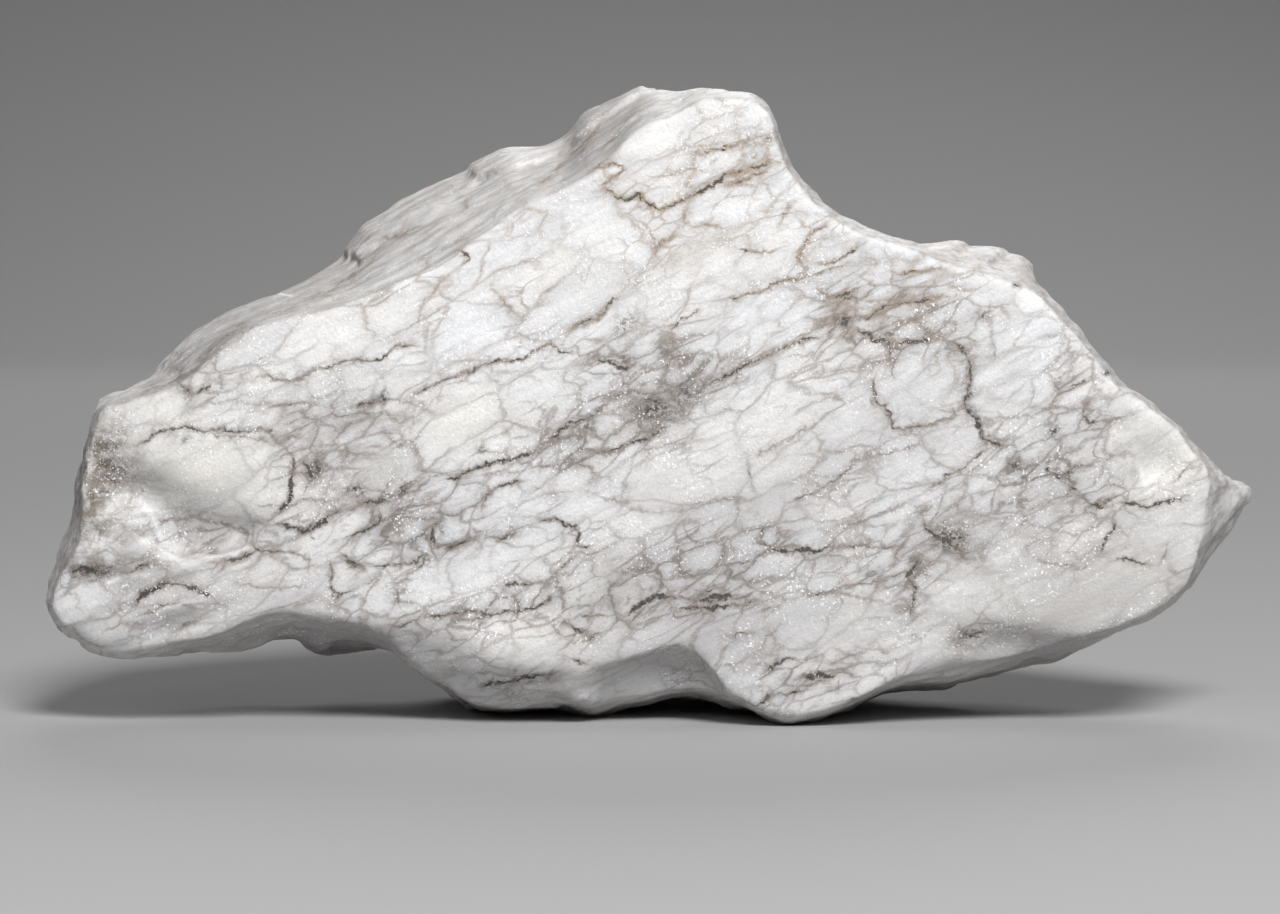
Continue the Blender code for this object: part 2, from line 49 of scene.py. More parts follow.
# Driving dimensions
THICKNESS = 60.0  # from the front face to the back
FRONT_Y = -30.1  # where the front face lies along Y
MIDDLE_X = -0.6  # where the middle of the outline table lies along X
RAISE = 1.05  # how far the block is raised before its feet are ground flat at z = 0
HEART = (0.0, 42.0)  # point inside the outline that every ring closes in on, as x and z

# The outline table was measured in a front view, taken from this far and this much above the
# level. A point behind the front face is really as much larger as its depth makes it look small.
VIEW_DISTANCE = 700.0
VIEW_RISE = math.radians(3.0)
VIEW_CENTRE = (-1.0, 38.6)  # point of the front face that the view is centred on, as x and z

# How the block is split: the layering climbs to the right, and grain and ledges follow it
LAYER_RISE = math.radians(27.0)

# Each row is one place on the rim, going round clockwise from the upper left corner: x and z of
# the front face's edge, x and z of the widest outline behind it, and that outline's depth.
RIM = (
    # upper left: a long ridged flank leans out behind the edge
    (-78.8, 45.5, -79.6, 46.5, 7),
    (-75.5, 46.8, -76.5, 48.1, 10),
    (-71.5, 47.9, -73.0, 50.0, 14),
    (-67.3, 49.6, -70.2, 52.2, 18),
    (-65.0, 51.4, -67.4, 55.2, 20),
    (-61.2, 54.9, -64.2, 57.3, 22),
    (-57.1, 57.3, -59.5, 59.8, 24),
    (-52.3, 58.8, -54.5, 61.9, 26),
    (-46.4, 60.2, -49.5, 64.2, 28),
    (-40.6, 62.0, -45.9, 66.3, 30),
    (-37.0, 63.5, -42.9, 69.4, 32),
    (-32.2, 65.4, -40.6, 72.5, 33),
    (-28.7, 67.6, -37.4, 74.9, 34),
    (-26.2, 69.2, -34.0, 77.0, 35),
    (-23.9, 70.7, -28.7, 79.1, 35),
    (-21.0, 72.8, -23.9, 81.6, 35),
    (-17.5, 75.3, -20.0, 83.3, 34),
    (-14.0, 76.9, -15.7, 83.6, 33),
    (-11.0, 78.3, -11.6, 85.1, 32),
    (-7.4, 80.4, -9.1, 88.4, 31),
    (-5.0, 82.3, -6.2, 89.7, 30),
    (-3.0, 84.7, -2.6, 91.3, 28),
    (0.5, 87.0, 0.3, 92.0, 26),
    (4.5, 88.4, 4.5, 91.7, 22),
    (8.0, 90.5, 9.0, 91.8, 16),
    # the summit and the long hollow to its right, where the side stands square to the face
    (12.0, 90.8, 12.5, 91.5, 10),
    (15.3, 90.2, 15.7, 91.0, 8),
    (17.2, 88.7, 17.8, 89.3, 8),
    (18.3, 86.3, 19.0, 86.6, 8),
    (19.3, 83.0, 20.1, 83.2, 8),
    (21.0, 79.4, 21.7, 79.9, 8),
    (23.5, 76.2, 24.2, 76.8, 8),
    (27.0, 73.3, 27.5, 74.0, 8),
    (31.5, 71.0, 31.8, 71.8, 10),
    (36.0, 69.6, 36.3, 70.2, 12),
    # the shoulder, where a second surface shows behind the edge
    (39.5, 68.3, 40.5, 69.5, 18),
    (43.5, 66.7, 45.0, 69.6, 24),
    (48.5, 65.4, 49.5, 69.1, 26),
    (53.0, 63.9, 53.6, 67.8, 26),
    (56.3, 62.4, 56.4, 64.4, 22),
    (58.8, 60.0, 59.4, 60.8, 14),
    (64.5, 53.5, 65.0, 54.1, 8),
    (68.0, 49.2, 68.6, 49.8, 8),
    (72.0, 46.5, 72.5, 47.0, 8),
    (76.3, 43.0, 76.7, 43.5, 9),
    (79.3, 39.6, 80.0, 40.2, 10),
    # the spur behind the right end
    (80.8, 37.6, 82.3, 37.7, 15),
    (81.3, 35.6, 84.9, 34.9, 18),
    (81.3, 33.4, 87.4, 34.2, 20),
    (81.0, 31.0, 86.9, 31.8, 20),
    (80.8, 28.6, 85.6, 28.8, 19),
    (80.2, 25.8, 83.3, 26.2, 18),
    (79.4, 22.8, 80.8, 23.3, 16),
    (78.2, 20.2, 79.3, 20.3, 15),
    (76.0, 17.8, 77.0, 17.4, 14),
    # lower right: the face rolls under
    (73.0, 15.7, 73.5, 14.9, 14),
    (69.0, 14.2, 69.0, 12.9, 18),
    (64.0, 12.6, 64.0, 11.2, 22),
    (59.0, 11.0, 59.5, 9.3, 24),
    (54.0, 9.8, 55.0, 8.4, 26),
    (49.5, 8.6, 50.5, 7.0, 28),
    (43.0, 7.2, 43.5, 5.1, 30),
    (36.5, 6.0, 37.0, 4.6, 30),
    (32.0, 4.2, 32.5, 3.1, 26),
    (28.0, 2.4, 28.5, 1.3, 18),
    # the right foot
    (24.0, 1.4, 24.0, 0.4, 12),
    (20.5, 0.9, 20.5, -0.2, 8),
    (17.0, 1.7, 17.0, 0.5, 12),
    # the hollow under the middle, with a sliver of the underside below it
    (14.5, 3.0, 14.5, 1.4, 28),
    (11.5, 4.2, 12.0, 1.5, 34),
    (8.0, 5.0, 8.5, 3.2, 34),
    (4.5, 4.9, 5.0, 3.9, 30),
    (0.5, 4.1, 0.5, 3.0, 26),
    (-4.0, 3.5, -4.0, 1.9, 24),
    (-8.0, 2.8, -7.8, 0.6, 22),
    (-12.0, 2.9, -12.0, 1.6, 24),
    # the rounded lump that hangs lowest on the left of the middle
    (-16.5, 2.6, -16.5, 1.8, 26),
    (-21.0, 2.3, -21.0, 1.5, 26),
    (-25.0, 2.9, -25.5, 1.9, 24),
    (-28.5, 5.0, -29.2, 4.6, 20),
    (-32.0, 7.2, -32.7, 6.8, 18),
    (-35.3, 9.9, -36.0, 9.6, 20),
    # the arch under the left part, whose roof is seen from below
    (-38.3, 12.6, -38.3, 10.5, 32),
    (-42.0, 14.2, -42.5, 10.3, 35),
    (-46.5, 14.8, -47.7, 10.2, 35),
    (-50.0, 15.4, -50.3, 11.9, 30),
    (-54.0, 15.6, -53.5, 11.9, 26),
    (-57.5, 14.8, -57.5, 10.8, 22),
    (-60.8, 13.2, -62.0, 10.2, 20),
    (-65.0, 11.9, -67.0, 9.9, 18),
    (-70.0, 10.9, -72.0, 9.6, 14),
    # the left end
    (-75.5, 9.9, -76.3, 9.0, 10),
    (-79.5, 10.9, -80.0, 9.9, 8),
    (-83.0, 12.7, -83.6, 12.1, 8),
    (-85.6, 14.8, -86.4, 14.5, 8),
    (-86.2, 17.4, -87.2, 17.8, 9),
    (-85.3, 20.4, -86.5, 21.0, 12),
    (-83.6, 23.2, -85.2, 24.6, 14),
    (-82.3, 27.0, -84.0, 28.4, 16),
    (-81.9, 31.5, -83.0, 32.4, 14),
    (-81.9, 35.0, -82.9, 35.0, 10),
    (-81.2, 38.5, -81.9, 38.6, 8),
    (-80.0, 42.5, -80.7, 42.8, 6),
)
STEPS_PER_ROW = 4  # points of a ring for each row of the table
FRONT_RINGS = 66
SIDE_RINGS = 18
BACK_RINGS = 30
EDGE_ROUND = 0.3  # how far the front edge is worn back
EDGE_BAND = 0.02  # share of the way in from the edge over which it is worn
BACK_DEPTH = 57.0  # depth of the back's rim, and the back bulges from there to THICKNESS
BACK_INSET_TOP = 17.0  # how far the back's rim lies inside the widest outline, along the top
BACK_INSET_FOOT = 2.0  # and along the foot, where the block needs its base
UNDERSIDE = (-0.2, 0.9)  # how far up the way in points, from the top's inset to the foot's
LEAST_SIDE = 3.0  # least distance from the front edge back to the widest outline
SIDE_BULGE = 1.15  # how much the side swells between the front edge and the widest outline
BACK_BULGE = 2.2  # and between there and the back's rim

# Where the front face bends back towards its borders: along x or z, where the bend begins, the
# length that it is measured by, and how deep it is after that length
BENDS = (
    ("z", 62.0, 30.0, 1.4),
    ("z", 46.0, -46.0, 2.0),
    ("x", 48.0, 34.0, 1.8),
    ("x", -58.0, -28.0, 2.4),
)
# The face rolls under along the middle of the foot: how deep, from which height down, and where
# the roll fades in and out along x
ROLL_DEPTH = 2.6
ROLL_TOP = 9.0
ROLL_IN = (-40.0, -30.0)
ROLL_OUT = (18.0, 6.0)

# Soft hollows of the front face: x, z, half length, half width, rise of the long axis in
# degrees, and depth. A negative depth is a swelling.
HOLLOWS = (
    (-70.5, 31.6, 8.5, 3.2, -26, 1.8),  # scoop under the cream lobe at the left
    (-74.0, 34.0, 6.5, 3.0, -35, 1.2),  # its shallow tail, up and to the left
    (-65.0, 37.5, 11.0, 5.0, -10, -1.3),  # the cream lobe itself
    (-66.0, 22.4, 10.0, 1.8, -4, -0.5),  # the wrinkled ridge below it
    (-71.0, 18.6, 7.5, 1.5, 24, 1.0),  # grooves between the lower left ridges
    (-67.0, 14.0, 7.0, 1.3, 14, 0.8),
    (-69.5, 16.4, 7.0, 1.4, 20, -0.9),
    (-80.0, 20.6, 5.0, 1.6, 14, 0.9),
    (-20.0, 10.0, 10.0, 4.4, 6, -2.0),  # the lump below the middle
    (3.5, 8.0, 6.5, 2.6, 4, 0.8),  # the dent under the middle
    (54.0, 10.6, 9.0, 2.7, -2, 3.4),  # dent in the lower right
    (45.0, 7.6, 7.0, 1.8, 12, 0.6),
    (20.0, 6.0, 8.0, 4.0, 20, -0.8),
    (74.8, 36.8, 3.6, 3.0, 40, 0.9),  # shallow chip at the right
    (60.0, 30.0, 16.0, 9.0, 20, 0.7),
    (-48.0, 50.0, 20.0, 5.0, 18, -0.7),
    (12.0, 34.0, 22.0, 9.0, 27, -0.6),
    (30.0, 62.0, 14.0, 5.0, 20, 0.8),
    (-4.0, 46.0, 8.0, 4.0, 27, 0.5),
)

# Low scarps: how far the surface drops, over how long it recovers, the width of the wall, and
# the line of the edge as x and z. The ground drops on the right of the line's direction.
SCARPS = (
    # the roof of the dent under the middle
    (1.6, 7.0, 1.6, ((-9.0, 8.0), (-3.0, 9.5), (1.0, 10.4), (4.5, 11.5), (7.0, 10.5), (9.0, 8.4),
                     (11.0, 6.0), (13.5, 3.4))),
    # the under edge of the lump, which runs into that roof
    (1.6, 9.0, 1.5, ((-25.0, 2.4), (-19.0, 2.7), (-14.2, 3.6), (-12.0, 5.0), (-10.4, 6.8),
                     (-9.0, 8.0))),
    # a crack across the lump
    (0.6, 2.4, 0.8, ((-29.0, 4.6), (-24.0, 5.4), (-18.0, 6.0), (-12.5, 7.4), (-9.5, 8.6))),
    # the lower rim of the cream lobe
    (0.6, 3.0, 1.0, ((-73.0, 31.5), (-68.5, 30.4), (-63.0, 30.5), (-59.0, 29.4), (-57.0, 27.2))),
    # the crease at the foot of the scoop, whose floor looks down
    (2.9, 5.0, 0.9, ((-54.8, 29.0), (-57.0, 26.2), (-60.5, 24.3), (-65.0, 23.6), (-70.0, 24.6),
                     (-74.0, 26.6))),
    # the step near the right end
    (0.9, 5.0, 0.9, ((73.2, 33.2), (71.6, 36.0), (71.2, 38.2), (70.2, 41.2))),
)
SCARP_END = 3.5  # length over which a scarp dies out at its ends

# Bevels, where the front face turns away for good: how steeply it falls back, how far the bend is
# rounded, and the line where it starts as x and z. It falls away on the right of its direction.
BEVELS = (
    # along the lower right
    (1.2, 0.6, ((33.0, 5.0), (36.0, 7.2), (39.0, 8.7), (43.0, 9.7), (49.0, 10.2), (54.0, 10.0),
                (60.0, 11.0))),
    # left of the lump, down to the outline
    (0.9, 2.0, ((-44.0, 15.8), (-36.0, 15.2), (-29.0, 14.2), (-24.2, 12.2), (-21.5, 9.8),
                (-17.0, 8.4), (-11.0, 9.0))),
    # the roof of the dent under the middle
    (1.15, 0.6, ((-10.5, 7.6), (-3.0, 9.5), (1.0, 10.4), (4.5, 11.5), (7.0, 10.5), (9.0, 8.4),
                 (11.5, 5.4), (14.0, 1.0))),
    # under the left part
    (0.8, 1.0, ((-85.5, 16.5), (-80.0, 13.2), (-73.0, 12.4), (-66.0, 13.4), (-60.0, 15.2),
                (-54.0, 17.2), (-48.0, 16.8), (-41.0, 15.0))),
)

# Broken faces: the deepest point of each as x, depth and z, the way that it faces in the same
# order, and the radius of its hollow. A large radius is almost flat.
BREAKS = (
    ((-8.0, 58.5, 38.0), (-0.06, 1.0, 0.10), 900.0),  # the back
    ((-30.0, 49.0, 62.0), (-0.30, 0.80, 0.52), 260.0),  # the back of the upper left flank
    ((12.0, 42.0, 80.0), (0.12, 0.78, 0.62), 120.0),  # behind the summit
    ((46.0, 44.0, 54.0), (0.38, 0.86, 0.34), 170.0),  # behind the shoulder
    ((70.0, 38.0, 30.0), (0.66, 0.74, -0.08), 150.0),  # back of the right end
    ((-68.0, 41.0, 30.0), (-0.52, 0.84, 0.12), 190.0),  # back of the left end
    ((-74.0, 30.0, 12.0), (-0.46, 0.52, -0.72), 110.0),  # under the left end
    ((58.0, 42.0, 12.0), (0.30, 0.50, -0.81), 120.0),  # under the right end
    ((-46.0, 52.0, 20.0), (-0.22, 0.80, -0.56), 70.0),
    ((26.0, 53.0, 26.0), (0.10, 0.96, -0.26), 60.0),  # shallow shells on the back
    ((-2.0, 55.0, 60.0), (-0.10, 0.93, 0.36), 52.0),
    ((-50.0, 51.5, 44.0), (-0.30, 0.93, 0.20), 46.0),
    ((88.0, 30.0, 22.0), (0.86, 0.40, -0.30), 30.0),
    ((2.0, 42.0, 1.6), (0.0, 0.25, -0.97), 26.0),  # the arch between the feet
    ((-86.0, 24.0, 36.0), (-0.95, 0.30, 0.10), 60.0),
)

# Rough relief: its height, and its size along the layering, through the block and across it
RIDGE_HEIGHT = 0.75
STREAK_SIZE = (34.0, 5.5, 14.0)  # on surfaces that lie with the layering
BAND_SIZE = (20.0, 30.0, 5.0)  # on surfaces that cut across it
LEDGE_HEIGHT = 1.5
LEDGE_STEP = 8.5  # from ledge to ledge across the layering
LEDGE_WANDER = 1.3  # how many steps a ledge strays
LEDGE_SIZE = (46.0, 30.0, 22.0)
PIT_HEIGHT = 0.6
PIT_SIZE = 7.0
STREAKS_FROM = (0.35, 0.9)  # how closely a surface lies with the layering, from bands to streaks
LEDGE_WALL = (0.3, 0.95)  # part of a step over which the surface falls back, to jut out again
FRONT_SHARE = 0.12  # share of the roughness that the flat front face has
FRONT_FACING = (0.55, 0.9)  # how squarely the front face looks forward, from rough to calm
FRONT_REACH = (20.0, 12.0)  # and how deep it reaches
OUTLINE_SHARE = 0.35  # share of it that the outline has, as it is seen from the front
OUTLINE_BAND = 0.3  # how far the surface turns from there until it has the rest
EDGE_CALM = 24.0  # how far behind the front face the sides reach their full roughness
SHRINK = 0.08  # evens out what remeshing adds

# Feet: x, depth, radius and how much lower the underside reaches there
FEET = (
    (20.5, 9.0, 8.0, 0.3),
    (-19.0, 47.0, 11.0, 1.9),
    (24.0, 45.0, 10.0, 1.9),
)
FOOT_REACH = (14.0, 7.0)  # heights between which the underside starts to be drawn down
FOOT_FACING = (0.1, -0.5)  # and how far down it looks there

# The mesh
VOXEL = 0.5
TRIANGLES = 190000
PALE_FACING = (0.3, 0.7)  # how squarely a point looks forward, from the sides to the front face
PALE_REACH = (20.0, 11.0)  # and how deep it lies

# Finer relief than the frame's. Sizes go along the layering, through the block and across it.
GRAIN_HEIGHT = 0.16
GRAIN_SIZE = (7.0, 4.0, 2.6)
STREAK_HEIGHT = 0.34
FINE_STREAKS = (22.0, 2.4, 5.0)
FINE_BANDS = (14.0, 16.0, 2.2)
CHIP_HEIGHT = 0.22
CHIP_SIZE = 2.6
FINE_CALM = 0.5  # share of the streaks and chips that the outline loses
FINE_REACH = (-1.0, 5.0)  # depths between which the sides take them up

# Dark veins of the front face, as the front view shows them: how dark each is, then x and z of
# its points in turn
VEINS = (
    # left end
    (0.9, -68.5, 50, -67.3, 49, -66.5, 48.3, -66.1, 47.2),
    (0.8, -66.2, 47.8, -64.6, 48.1, -63.7, 48.9, -62.3, 49.4),
    (0.3, -68.5, 49.5, -70.5, 48.5, -74, 47),
    (0.5, -80.5, 42.3, -76.8, 42.5),
    (0.6, -75, 40, -72.5, 41.3, -71, 42, -69.6, 42.5, -67.5, 43.2, -65, 42.7, -60, 42.4, -56, 42.6,
     -54.5, 42.4, -53.8, 41.6, -53.2, 40.6),
    (0.35, -67, 43, -67.3, 44.3, -67.4, 46),
    (0.4, -65, 42, -60, 41.7, -57, 41.5, -55, 41.1, -53, 40),
    (0.85, -53, 40, -52, 39.2, -51.5, 38.6, -51.3, 37.8, -51.5, 35, -51.7, 32.6, -52.4, 31.8,
     -53.5, 30.6, -54.2, 30, -55, 29.9),
    (0.85, -54.2, 30, -54, 29, -53, 28.6, -50, 27.9, -49, 28, -47.5, 28.8, -44.5, 31, -43.5, 31.8),
    (1.0, -51.3, 38, -49, 37.6, -48.7, 36.8, -48.4, 34.6),
    (0.8, -48.9, 38.8, -47.9, 37.4, -47.4, 36.2, -48.2, 35),
    (0.7, -50, 44.2, -52, 43.2, -53, 43.2),
    (0.5, -55.5, 45.5, -52, 46.2, -49, 46.8, -47.5, 46.7),
    (0.6, -54, 41.2, -52.5, 41, -50.3, 41.8, -50, 42.8),
    (0.7, -81.5, 35.2, -79, 35.7, -77, 34.6, -75.2, 35),
    (0.6, -80.5, 32.3, -77, 33.2),
    (0.9, -84, 20, -83.2, 22.6, -80.5, 22.2, -78.5, 22),
    (0.3, -79, 22.6, -76, 23.6, -70, 23.5, -65, 23),
    (0.75, -56, 25.2, -58, 24.4, -61, 23.6, -64, 23.4),
    (0.45, -57, 28, -57.2, 26, -56.3, 25, -51, 24.8, -49, 23, -49.3, 21),
    (0.35, -60.5, 20, -55, 19.5, -50, 19.6, -48, 20.5),
    (0.7, -75.5, 16, -73.7, 18.4, -70.4, 20.3, -66.7, 19.8, -64.3, 18.9, -62, 17.5),
    (0.5, -74.6, 15.1, -71.3, 16.6, -67.6, 17.4, -64.6, 16.6),
    (0.55, -69.5, 12.8, -66.7, 14.2, -63.9, 15.1),
    (0.5, -76.5, 20.7, -74.1, 22.6, -71.3, 23.1, -69.5, 22.6),
    (0.4, -73.5, 28.6, -70, 29.5, -66, 29.8, -61.5, 29.2, -58, 27.8, -56.3, 26),
    (0.3, -80.5, 13.2, -76, 14.6, -72, 13.8),
    # left of the middle
    (0.55, -57, 50, -55, 50.4, -51, 49.4, -48.5, 51, -45, 52.2, -42, 52.6, -38.8, 52.9, -36.5, 54.7,
     -33.5, 55.3, -32, 54.6),
    (0.6, -38, 50, -37.9, 48.8, -38.4, 47, -40.5, 46.5, -44, 45.5),
    (0.5, -45.5, 43.7, -44.8, 43.5, -43.5, 42),
    (0.35, -41.7, 40, -38.5, 40.2, -36.5, 39.5),
    (0.8, -43.5, 38.8, -42.9, 37.8),
    (0.8, -43, 32.1, -41, 32, -38.6, 32.6, -36.5, 32.4),
    (0.5, -46, 32.5, -43, 32.2),
    (0.55, -38.6, 32, -39, 31, -38.4, 30.2, -39.3, 28.4, -42, 27.5, -45, 26.5),
    (0.5, -39, 28.3, -36, 28.5, -34, 28.4),
    (0.9, -36, 32.5, -35.5, 33.8, -35, 34.6, -33.5, 35.2),
    (0.8, -31, 32, -30, 32.4, -29.6, 31.9),
    (0.7, -45.3, 25, -44, 24.3, -43, 23.2, -41.5, 22.6, -40.3, 21.3),
    (0.55, -41.5, 22.6, -38.5, 22.8, -35.5, 23.2, -33, 23.9, -30.3, 24.7),
    (0.5, -42, 20, -39.5, 20.3, -38, 22),
    (0.5, -35.5, 19.8, -34.4, 22, -32, 23.8, -30.2, 24.6),
    (0.8, -36.2, 19.8, -35.9, 19, -36.5, 18.3, -35.8, 17.5, -35.3, 16.4),
    (0.6, -46.3, 24.5, -45.7, 21.5, -46, 20, -45, 18.2, -43, 19, -42, 19.8),
    (0.4, -46, 17.8, -45.7, 15.3),
    (0.85, -31.3, 29.7, -30.7, 28.5, -31, 27, -30.2, 26, -30, 24.7),
    (0.95, -30, 25.2, -28.6, 25.6, -27.4, 25.9, -26.3, 26.3, -24, 27),
    (0.7, -24, 27, -22, 26.8, -20.5, 27, -19, 27.7, -18, 28.3),
    (0.6, -21.8, 18.3, -20.3, 19.9, -18.5, 20.2, -16.8, 20.3, -15.5, 20.6),
    (0.55, -14.2, 20.9, -12.5, 22.3, -11, 23.6, -9.2, 25.4),
    (0.6, -16.5, 28.9, -14, 29.6, -12.5, 29, -10.3, 28.3, -9.9, 27, -10.1, 25.7, -8.5, 25.9,
     -7, 26.3),
    (0.5, -14.2, 31.6, -14.3, 30.4, -14, 29.6),
    (0.7, -33.5, 15.2, -31, 15.5, -28, 15.9, -25, 16.1, -23.8, 16, -23, 15.5, -21, 15.9,
     -17.5, 16.4, -14.3, 17.8, -13, 18.5),
    (0.85, -13.5, 15, -12.8, 14.2, -11.5, 14.1, -10.2, 13.3, -8, 13.4),
    (0.6, -10.2, 11.3, -8.5, 12, -7, 12.8, -5.3, 13.6),
    (0.5, -10.5, 16.5, -10, 15.7, -9, 15.3, -5.5, 15.7, -3.8, 16.1),
    (0.7, -25, 5.3, -21, 5.7, -19, 6.1, -16.5, 6.7, -14, 7.1, -12, 7.7),
    (0.85, -11.6, 9.8, -10.3, 9.2, -9.3, 8.6, -8.3, 8.2),
    (0.4, -7, 6.3, -6.3, 5.5, -7, 4),
    (0.45, -38.5, 14, -36, 14.1, -34, 14.7, -32, 15),
    (0.4, -36, 13.5, -34, 13, -32.5, 12.6, -31.5, 12.6),
    (0.4, -29.5, 14, -29, 13.6, -28.3, 13.5),
    # upper middle
    (0.5, -28.5, 67.6, -27.8, 68.3, -26.6, 68.5, -25.9, 67.6, -26.6, 66.6, -28, 65.3),
    (0.35, -27.7, 65.5, -30, 64, -31.5, 62, -33, 60, -33.5, 57),
    (0.7, -17.5, 75.2, -17, 74.5, -16, 74),
    (0.3, -16, 74, -18, 72.5, -20, 72.3),
    (0.4, -17.5, 70.2, -16.8, 68),
    (0.35, -22, 65, -22.5, 63.5, -21, 61, -17.5, 58.3),
    (0.6, -8, 79.3, -7.5, 80.2, -5.5, 81.1, -3.6, 80.3, -4.8, 78.8, -7, 78, -7.8, 78.6),
    (0.8, -7, 78, -6, 77.2, -4, 76.3, -3.3, 76, -1, 76.6, 0.3, 75.2, 2, 74.4, 4.5, 75.4, 7, 76.7,
     9, 77.6, 11, 79.1, 13.5, 80, 16, 80.8, 19, 82),
    (0.6, 10, 77.5, 13.5, 78.4, 16.5, 80, 18.5, 81.2),
    (0.35, -1, 79, 1, 79, 5, 80, 10, 80),
    (0.6, 6, 82.3, 10, 83, 13.5, 83.7, 14.5, 84.8, 14.8, 85.6),
    (0.7, 15, 85.2, 17, 85.2, 17.9, 84.2),
    (0.6, 5, 75.2, 5.7, 73, 6, 71.8, 5.3, 71.4),
    (0.5, 6, 71.5, 7.5, 72, 10, 71.8, 12, 71.5),
    (0.5, 5.5, 71.4, 2.5, 70, 1, 68.5, 1.8, 66.6),
    (0.5, 12, 69.3, 14, 68.5, 18, 68.4, 20, 69),
    (0.4, 19, 70.5, 19.8, 73.5, 20.3, 75, 22.5, 76.3),
    (0.6, 26.8, 73.5, 24, 70.8, 21.8, 68, 22.3, 66.5, 23, 66, 21.5, 64.8),
    (0.5, 23, 66.2, 26, 66.7, 28, 67.2, 29.5, 68.2, 31, 69, 32.5, 70),
    (0.5, 31, 68.3, 32, 67.2, 34, 66.3),
    (0.5, 10, 61.5, 15.5, 62.4, 19.5, 63.9, 24, 64.9, 28, 66.2, 30, 67),
    (0.6, 24, 64, 26, 61.8, 27, 61.5, 29.5, 62.5, 32.2, 63.5),
    # middle
    (0.6, -35, 47.3, -31, 48.9, -27, 50.6, -22, 52.3, -18, 52.8, -15.5, 54.5, -14, 55.1,
     -12.5, 53.8, -9.5, 53.8),
    (0.3, -30, 53, -28, 52.3, -23, 52.5),
    (0.4, -17.5, 52.7, -17.7, 51.7, -16, 50.8),
    (0.85, -8, 53.5, -5.5, 52.2, -3.3, 51.5, -1, 52.6),
    (0.5, -8, 54.6, -6, 56),
    (0.7, -12, 57, -10, 57.6, -7, 59, -5.3, 60.8, -3.5, 62.3),
    (0.3, -3.5, 62.3, 0, 64.5, 2, 65.5),
    (0.5, 2.5, 56, 5, 58.3, 9, 60.3),
    (0.95, -1.6, 46.6, 0.2, 47, 1.6, 46.4, 3.6, 46.8),
    (0.95, 0.2, 44.4, 1.4, 45.2, 2.6, 44.6, 3.9, 45.4),
    (0.65, 7.5, 49, 10.5, 49.8, 13, 51, 16, 52.8, 19, 54.3, 23, 55.5, 26, 56.5),
    (0.75, -5, 47, -7.5, 45, -10, 44, -13, 42, -15, 40.2),
    (0.5, -15, 40.2, -11.5, 41.7, -8, 41.8, -6.5, 42),
    (0.75, -15, 40, -18, 38.8, -21.5, 37.7, -24.5, 37.2, -28, 35.6, -30, 35.2),
    (0.6, -15, 39.3, -15.8, 37, -15.7, 36),
    (0.7, -9.9, 38.3, -10, 36.2),
    (0.6, -8, 37, -7.5, 36.3, -8.3, 34.5),
    (0.65, -9, 39.3, -5, 39.3, -3, 40.5, 0, 41.3, 3, 43, 3.5, 44),
    (0.6, -24.2, 29.8, -23.8, 31.2, -23, 33, -21, 34.7, -17, 35.2),
    (0.4, 14.5, 38.7, 17.5, 39.7, 20.5, 41, 23, 42.8, 26, 44.5),
    (0.3, 15, 32.5, 10, 32.3, 6, 31, 2, 30.7, -2, 31.2, -5, 32),
    (0.3, 25, 32.5, 29, 34.7, 30, 36),
    # right of the middle
    (1.0, 26.8, 58.3, 28, 57.6, 29, 58.5, 27, 59.8),
    (0.9, 27, 59.8, 28.5, 61.2, 30.7, 62.3),
    (0.8, 29.5, 58.3, 32.5, 59.3, 34, 60.3, 38, 61, 42, 61.9, 43.5, 61.8),
    (0.7, 30.8, 62.5, 31.2, 61.5, 30.3, 60.3),
    (0.9, 29.5, 57.7, 32.5, 56.3, 33, 55.5, 34.7, 56, 35.3, 54.5, 34.9, 52),
    (0.85, 35, 55, 39, 55.3, 42, 56.1, 42.8, 55.5),
    (0.6, 35, 57, 37.5, 57.8, 40.8, 59),
    (0.85, 42.8, 55.7, 46, 54.3, 47, 52.2, 46.3, 50, 46.8, 47.6, 45, 46, 47, 44.9, 48.3, 43.5,
     48.4, 41, 50.5, 40.6, 52.5, 39.5),
    (0.55, 42.3, 55, 41.6, 52.8, 42.3, 51),
    (0.5, 44.5, 52.3, 47, 52),
    (0.3, 50, 60, 50.2, 62.3),
    (0.6, 33.5, 51, 32.2, 49.5, 33.2, 47.5, 32.8, 46.5, 35.3, 45.5, 35.6, 42.8, 37.5, 42.5,
     40.5, 43, 44, 44.2, 46, 44.7),
    (0.8, 52.5, 39.5, 52.3, 37.6, 53, 37, 54.4, 38.3, 53.7, 39.5),
    (0.45, 50.3, 40.3, 47.5, 38.6, 45, 36.7, 42.5, 35, 39.5, 33),
    (0.4, 49, 37.5, 48.5, 39.5),
    (0.6, 65, 50, 62, 49.5, 60.4, 48),
    (0.4, 60.5, 48, 59.3, 46, 59.4, 45),
    (0.55, 65.5, 48, 63.8, 46.3, 63.2, 45.5, 64, 43.5, 67, 43.5, 70.2, 44.8),
    (0.6, 57.5, 41.5, 57.5, 40.5),
    (0.6, 58, 39.5, 58, 36.5, 60, 35.5, 61, 36.3, 63, 36.6),
    (0.6, 60, 35.5, 61.5, 34, 64, 33),
    (0.5, 56, 34.6, 57.8, 34.4),
    (0.85, 63.5, 32.5, 65, 31.1, 67, 32.3, 66.7, 30.8),
    (0.7, 67.3, 31.8, 71, 31.7, 73, 31.3, 75, 32, 79, 33),
    (0.65, 67.5, 29.7, 67, 28.7, 68, 28.2, 66.3, 26.7, 65.5, 24),
    (0.3, 60, 31, 59.5, 29.3, 64, 29),
    (0.55, 75.5, 34.5, 77, 36, 79, 38),
    (0.3, 24.5, 50.5, 28, 51.3, 31.5, 51.3, 33, 50.7),
